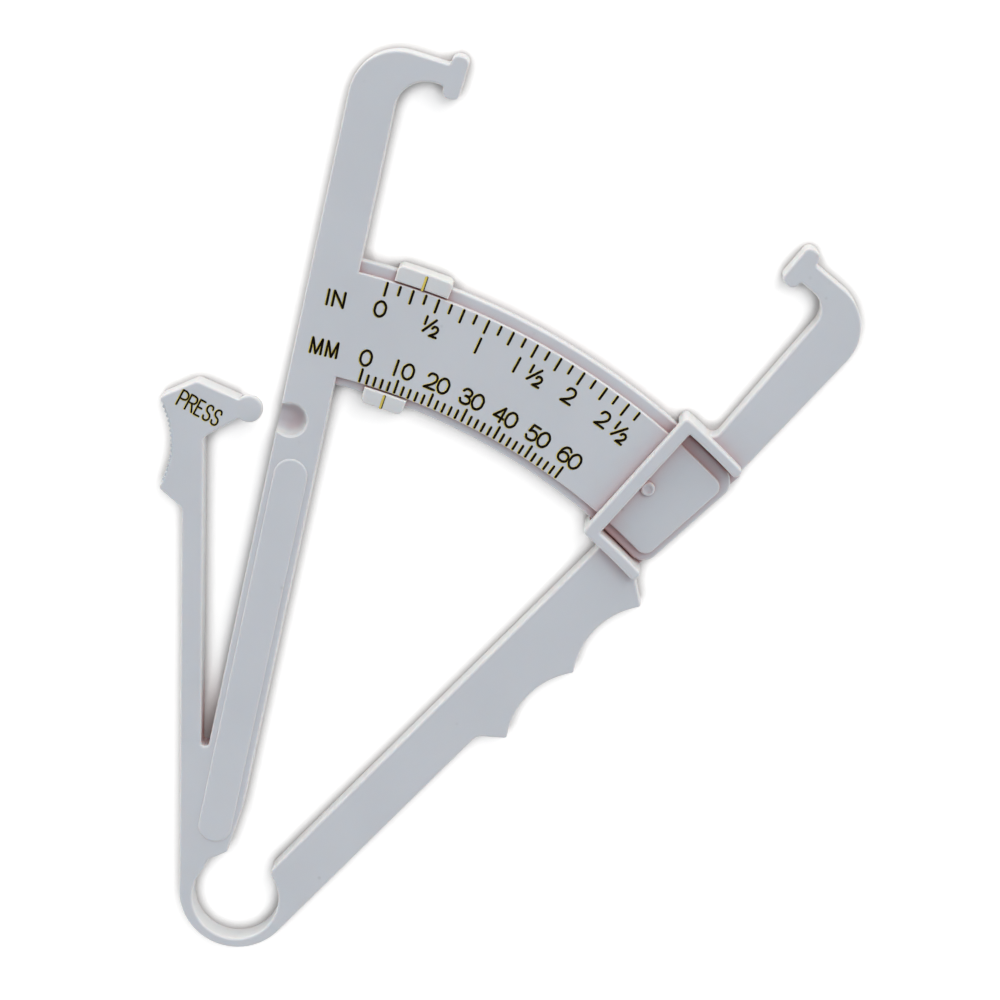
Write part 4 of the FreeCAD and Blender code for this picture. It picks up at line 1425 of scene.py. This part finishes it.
@dataclass
class ScalePrint:
    """The inch and millimetre scales, the two unit names, and the word on the thumb rest."""

    face: float = 5.8
    relief: float = 0.03
    zero: float = 73.17
    jaw_radius: float = 175.1
    inch_long: float = 134.79
    inch_short: float = 135.17
    mm_long: float = 118.16
    mm_short: float = 117.74
    long_tick: float = 2.35
    short_tick: float = 1.55
    number_height: float = 2.82
    number_width: float = 1.95
    inch_numbers: float = 131.0
    mm_numbers: float = 121.5
    pair_gap: float = 1.16
    inch: float = 25.4
    inch_marks: int = 22
    mm_marks: int = 31
    halo: float = 0.05
    under_share: float = 0.6
    fringe: Vector = field(default_factory=lambda: Vector((-0.05, -0.01, 0.0)))
    pointer_face: float = 6.0
    pointer_fringe: Vector = field(default_factory=lambda: Vector((0.12, 0.0, 0.0)))

    def direction(self, opening: float) -> float:
        """The direction of the mark for an opening of the jaws."""
        return self.zero - 2 * math.degrees(math.asin(opening / (2 * self.jaw_radius)))

    def tick(self, foil: Foil, direction: float, middle: float, length: float) -> None:
        """Print a tick along a radius."""
        low, high = middle - length / 2, middle + length / 2
        foil.line(polar(low, direction, GUIDE.origin), polar(high, direction, GUIDE.origin))

    def number(self, foil: Foil, signs: str, direction: float, radius: float) -> None:
        """Print one or two digits over a mark."""
        shift = math.degrees(self.pair_gap / radius)
        turns = (0.0,) if len(signs) == 1 else (shift, -shift)
        for sign, turn in zip(signs, turns):
            up = direction + turn
            foil.character(sign, polar(radius, up, GUIDE.origin), up, self.number_height, self.number_width)

    def half(self, foil: Foil, direction: float, radius: float) -> None:
        """Print the fraction one half."""
        centre = polar(radius, direction, GUIDE.origin)

        def off(right: float, above: float) -> Vector:
            """A point beside the fraction's middle."""
            return polar(right, direction - 90.0, polar(above, direction, centre))

        foil.character("1", off(-0.93, 0.73), direction, 1.46, 0.6)
        foil.character("/", centre, direction, 2.66, 1.74)
        foil.character("2", off(1.18, -0.85), direction, 1.9, 1.22)

    def scales(self) -> Foil:
        """Draw both scales and the unit names.

        Returns:
            The print.
        """
        foil = Foil("scale_print")
        for number in range(self.inch_marks):
            whole = number % 2 == 0
            middle = self.inch_long if whole else self.inch_short
            self.tick(foil, self.direction(number * self.inch / 8), middle,
                      self.long_tick if whole else self.short_tick)
        for number in range(self.mm_marks):
            whole = number % 5 == 0
            self.tick(foil, self.direction(2.0 * number), self.mm_long if whole else self.mm_short,
                      self.long_tick - 0.1 if whole else self.short_tick - 0.05)
        for signs, inches in (("0", 0.0), ("1", 1.0), ("2", 2.0)):
            self.number(foil, signs, self.direction(inches * self.inch), self.inch_numbers)
        self.half(foil, self.direction(12.7), self.inch_numbers)
        for sign, opening, left, right in (("1", 38.1, 0.71, 0.92), ("2", 63.5, 0.89, 0.72)):
            mark = self.direction(opening)
            self.number(foil, sign, mark + left, self.inch_numbers)
            self.half(foil, mark - right, self.inch_numbers)
        self.number(foil, "0", self.direction(0.0), self.mm_numbers)
        for opening in range(10, 70, 10):
            self.number(foil, str(opening), self.direction(float(opening)), self.mm_numbers)
        for sign, direction, radius, width in (("I", 77.45, 130.77, 1.0), ("N", 76.56, 130.77, 1.97),
                                               ("M", 77.56, 121.45, 1.95), ("M", 76.19, 121.41, 1.98)):
            foil.character(sign, polar(radius, direction, GUIDE.origin), 76.9, 2.76, width)
        return foil

    def press(self) -> Foil:
        """Draw the word on the thumb rest.

        Returns:
            The print.
        """
        foil = Foil("thumb_print", width=0.42)
        first, last = Vector((-7.10, 96.64, 0.0)), Vector((-1.08, 93.11, 0.0))
        widths = {"P": 1.39, "R": 1.40, "E": 1.10, "S": 1.20}
        for number, sign in enumerate("PRESS"):
            foil.character(sign, first.lerp(last, number / 4), 60.7, 3.0, widths[sign])
        return foil

    def pointers(self) -> Foil:
        """Draw the cursor's two pointer lines.

        Returns:
            The print.
        """
        foil = Foil("pointer_print", width=0.5)
        self.tick(foil, 70.49, 137.95, 2.4)
        self.tick(foil, 70.63, 114.62, 2.25)
        return foil

    def build(self, black: bpy.types.Material, gold: bpy.types.Material) -> list[bpy.types.Object]:
        """Print the caliper.

        Args:
            black: The black foil.
            gold: The gold layer that shows at the strokes' left sides.

        Returns:
            The printed pieces.
        """
        pieces = []
        under = self.relief * self.under_share
        for foil, body in ((self.scales(), "frame"), (self.press(), "lever")):
            pieces.append(foil.lay(self.face, self.relief, Vector(), body, black))
            foil.name += "_edge"
            pieces.append(foil.lay(self.face, under, self.fringe, body, gold, foil.width + self.halo))
        lines = self.pointers()
        pieces.append(lines.lay(self.pointer_face, self.relief, Vector(), "cursor", gold))
        lines.name += "_edge"
        pieces.append(lines.lay(self.pointer_face, under, self.pointer_fringe, "cursor", black))
        return pieces


# --- the studio ---


@dataclass
class Studio:
    """A pale floor with a painted contact shadow, soft light and the camera."""

    lean: float = 12.94
    swing: float = -2.0
    distance: float = 648.9
    lens: float = 122.4
    sensor: float = 36.0
    pivot_right: float = -58.76
    pivot_up: float = -87.40
    pivot_height: float = 5.8
    floor_size: float = 4.0
    floor_level: float = -0.00002
    # Floor colour from right beside the caliper to open floor: a painted contact shadow.
    floor_tone: Span = (0.61, 0.92)
    floor_glow: Span = (0.0, 0.36)
    shadow_shelter: Span = (0.5, 0.95)
    shadow_reach: float = 0.0026
    sky_overhead: tuple[float, ...] = (0.28, 0.29, 0.31, 1.0)
    sky_sides: tuple[float, ...] = (2.48, 2.42, 2.32, 1.0)
    sky_lean: Colour = (-0.25, 0.5, 0.0)
    key_strength: float = 1.1
    key_spread: float = 35.0
    key_colour: Colour = (1.0, 0.985, 0.96)
    key_direction: Colour = (0.36, 0.40, 0.84)

    def camera(self) -> bpy.types.Object:
        """Stand the camera over the caliper.

        Returns:
            The camera.
        """
        a, b = math.radians(self.lean), math.radians(self.swing)
        right = Vector((math.cos(b), math.sin(a) * math.sin(b), math.cos(a) * math.sin(b)))
        above = Vector((0.0, math.cos(a), -math.sin(a)))
        back = Vector((-math.sin(b), math.sin(a) * math.cos(b), math.cos(a) * math.cos(b)))
        pivot = Vector((*PIVOT, self.pivot_height))
        spot = pivot - right * self.pivot_right - above * self.pivot_up + back * self.distance
        data = bpy.data.cameras.new("camera")
        data.lens, data.sensor_width = self.lens, self.sensor
        data.clip_start, data.clip_end = 0.01, 10.0
        camera = placed("camera", data)
        turn = Matrix((right, above, back)).transposed().to_4x4()
        camera.matrix_world = Matrix.Translation(spot * METRES_PER_MM) @ turn
        bpy.context.scene.camera = camera
        return camera

    def floor(self) -> bpy.types.Object:
        """Lay the pale floor, with a contact shadow painted into its colour and camera-only glow.

        Returns:
            The floor.
        """
        mesh = bmesh.new()
        bmesh.ops.create_grid(mesh, x_segments=1, y_segments=1, size=self.floor_size / 2,
                              matrix=Matrix.Translation((0.0, 0.0, self.floor_level)))
        data = bpy.data.meshes.new("floor")
        mesh.to_mesh(data)
        mesh.free()
        floor = placed("floor", data)
        made = bpy.data.materials.new("floor_paper")
        made.use_nodes = True
        wiring = Wiring(made.node_tree)
        # Painted shadow: ambient occlusion darkens the floor's colour and dims its camera-only glow where the
        # caliper stands near.
        shelter = wiring.add("AmbientOcclusion", samples=8)
        shelter.inputs["Distance"].default_value = self.shadow_reach
        tone, glow = (wiring.mapped(shelter.outputs["AO"], self.shadow_shelter, target)
                      for target in (self.floor_tone, self.floor_glow))
        seen = wiring.add("LightPath").outputs["Is Camera Ray"]
        shader = made.node_tree.nodes["Principled BSDF"].inputs
        for label, value in (("Roughness", 0.9), ("Specular IOR Level", 0.1), ("Base Color", tone),
                             ("Emission Color", (1.0, 1.0, 1.0, 1.0)),
                             ("Emission Strength", wiring.maths("MULTIPLY", seen, glow))):
            wiring.feed(value, shader[label])
        data.materials.append(made)
        return floor

    def sky(self) -> None:
        """Light the scene from all round, brighter at the sides than overhead."""
        world = bpy.data.worlds.new("studio")
        bpy.context.scene.world = world
        world.use_nodes = True
        wiring = Wiring(world.node_tree)
        where = wiring.add("TexCoord").outputs["Generated"]
        parts = wiring.add("SeparateXYZ")
        wiring.feed(where, parts.inputs[0])
        low = wiring.maths("SUBTRACT", 1.0, parts.outputs["Z"])
        fall = wiring.maths("MULTIPLY", low, low)
        lean = wiring.reckon("VectorMath", "DOT_PRODUCT", (where, self.sky_lean)).outputs["Value"]
        bias = wiring.maths("MULTIPLY_ADD", fall, lean, fall)
        sky = wiring.add("Mix", data_type="RGBA", clamp_factor=False)
        for label, value in (("A", self.sky_overhead), ("B", self.sky_sides), ("Factor", bias)):
            wiring.feed(value, sky.inputs[label])
        path = wiring.add("LightPath").outputs
        seen = path["Is Camera Ray"]
        for ray in ("Is Glossy Ray", "Is Transmission Ray"):
            seen = wiring.maths("MAXIMUM", seen, path[ray])
        mix = wiring.add("Mix", data_type="RGBA")
        for label, value in (("A", sky.outputs["Result"]), ("B", (1.0, 1.0, 1.0, 1.0)), ("Factor", seen)):
            wiring.feed(value, mix.inputs[label])
        wiring.feed(mix.outputs["Result"], world.node_tree.nodes["Background"].inputs["Color"])

    def key(self) -> bpy.types.Object:
        """Hang the soft lamp above, to the right and towards the jaws.

        Returns:
            The lamp.
        """
        data = bpy.data.lights.new("key", "SUN")
        data.energy = self.key_strength
        data.angle = math.radians(self.key_spread)
        data.color = self.key_colour
        lamp = placed("key", data)
        lamp.rotation_mode = "QUATERNION"
        lamp.rotation_quaternion = Vector(self.key_direction).to_track_quat("Z", "Y")
        return lamp

    def build(self) -> None:
        """Set up the studio."""
        self.camera()
        self.floor()
        self.sky()
        self.key()
        bpy.context.scene.view_settings.view_transform = "Standard"


def main() -> None:
    """Build the caliper and its studio."""
    logging.basicConfig(level=logging.INFO, format="%(name)s: %(message)s")
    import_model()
    Studio().build()
    body, clip = BODY_PLASTIC.material(), CURSOR_PLASTIC.material()
    lever = ThumbLever()
    pieces = [ScaleSide().build(body), HingeRing().build(body), GripSide().build(body), lever.flexure(body),
              lever.build(body), Cursor().build(clip)]
    pieces += ScalePrint().build(BLACK_FOIL.material(), GOLD_FOIL.material())
    for piece in pieces:
        LOG.info("%s: %d faces", piece.name, len(piece.data.polygons))


if __name__ == "__main__":
    main()
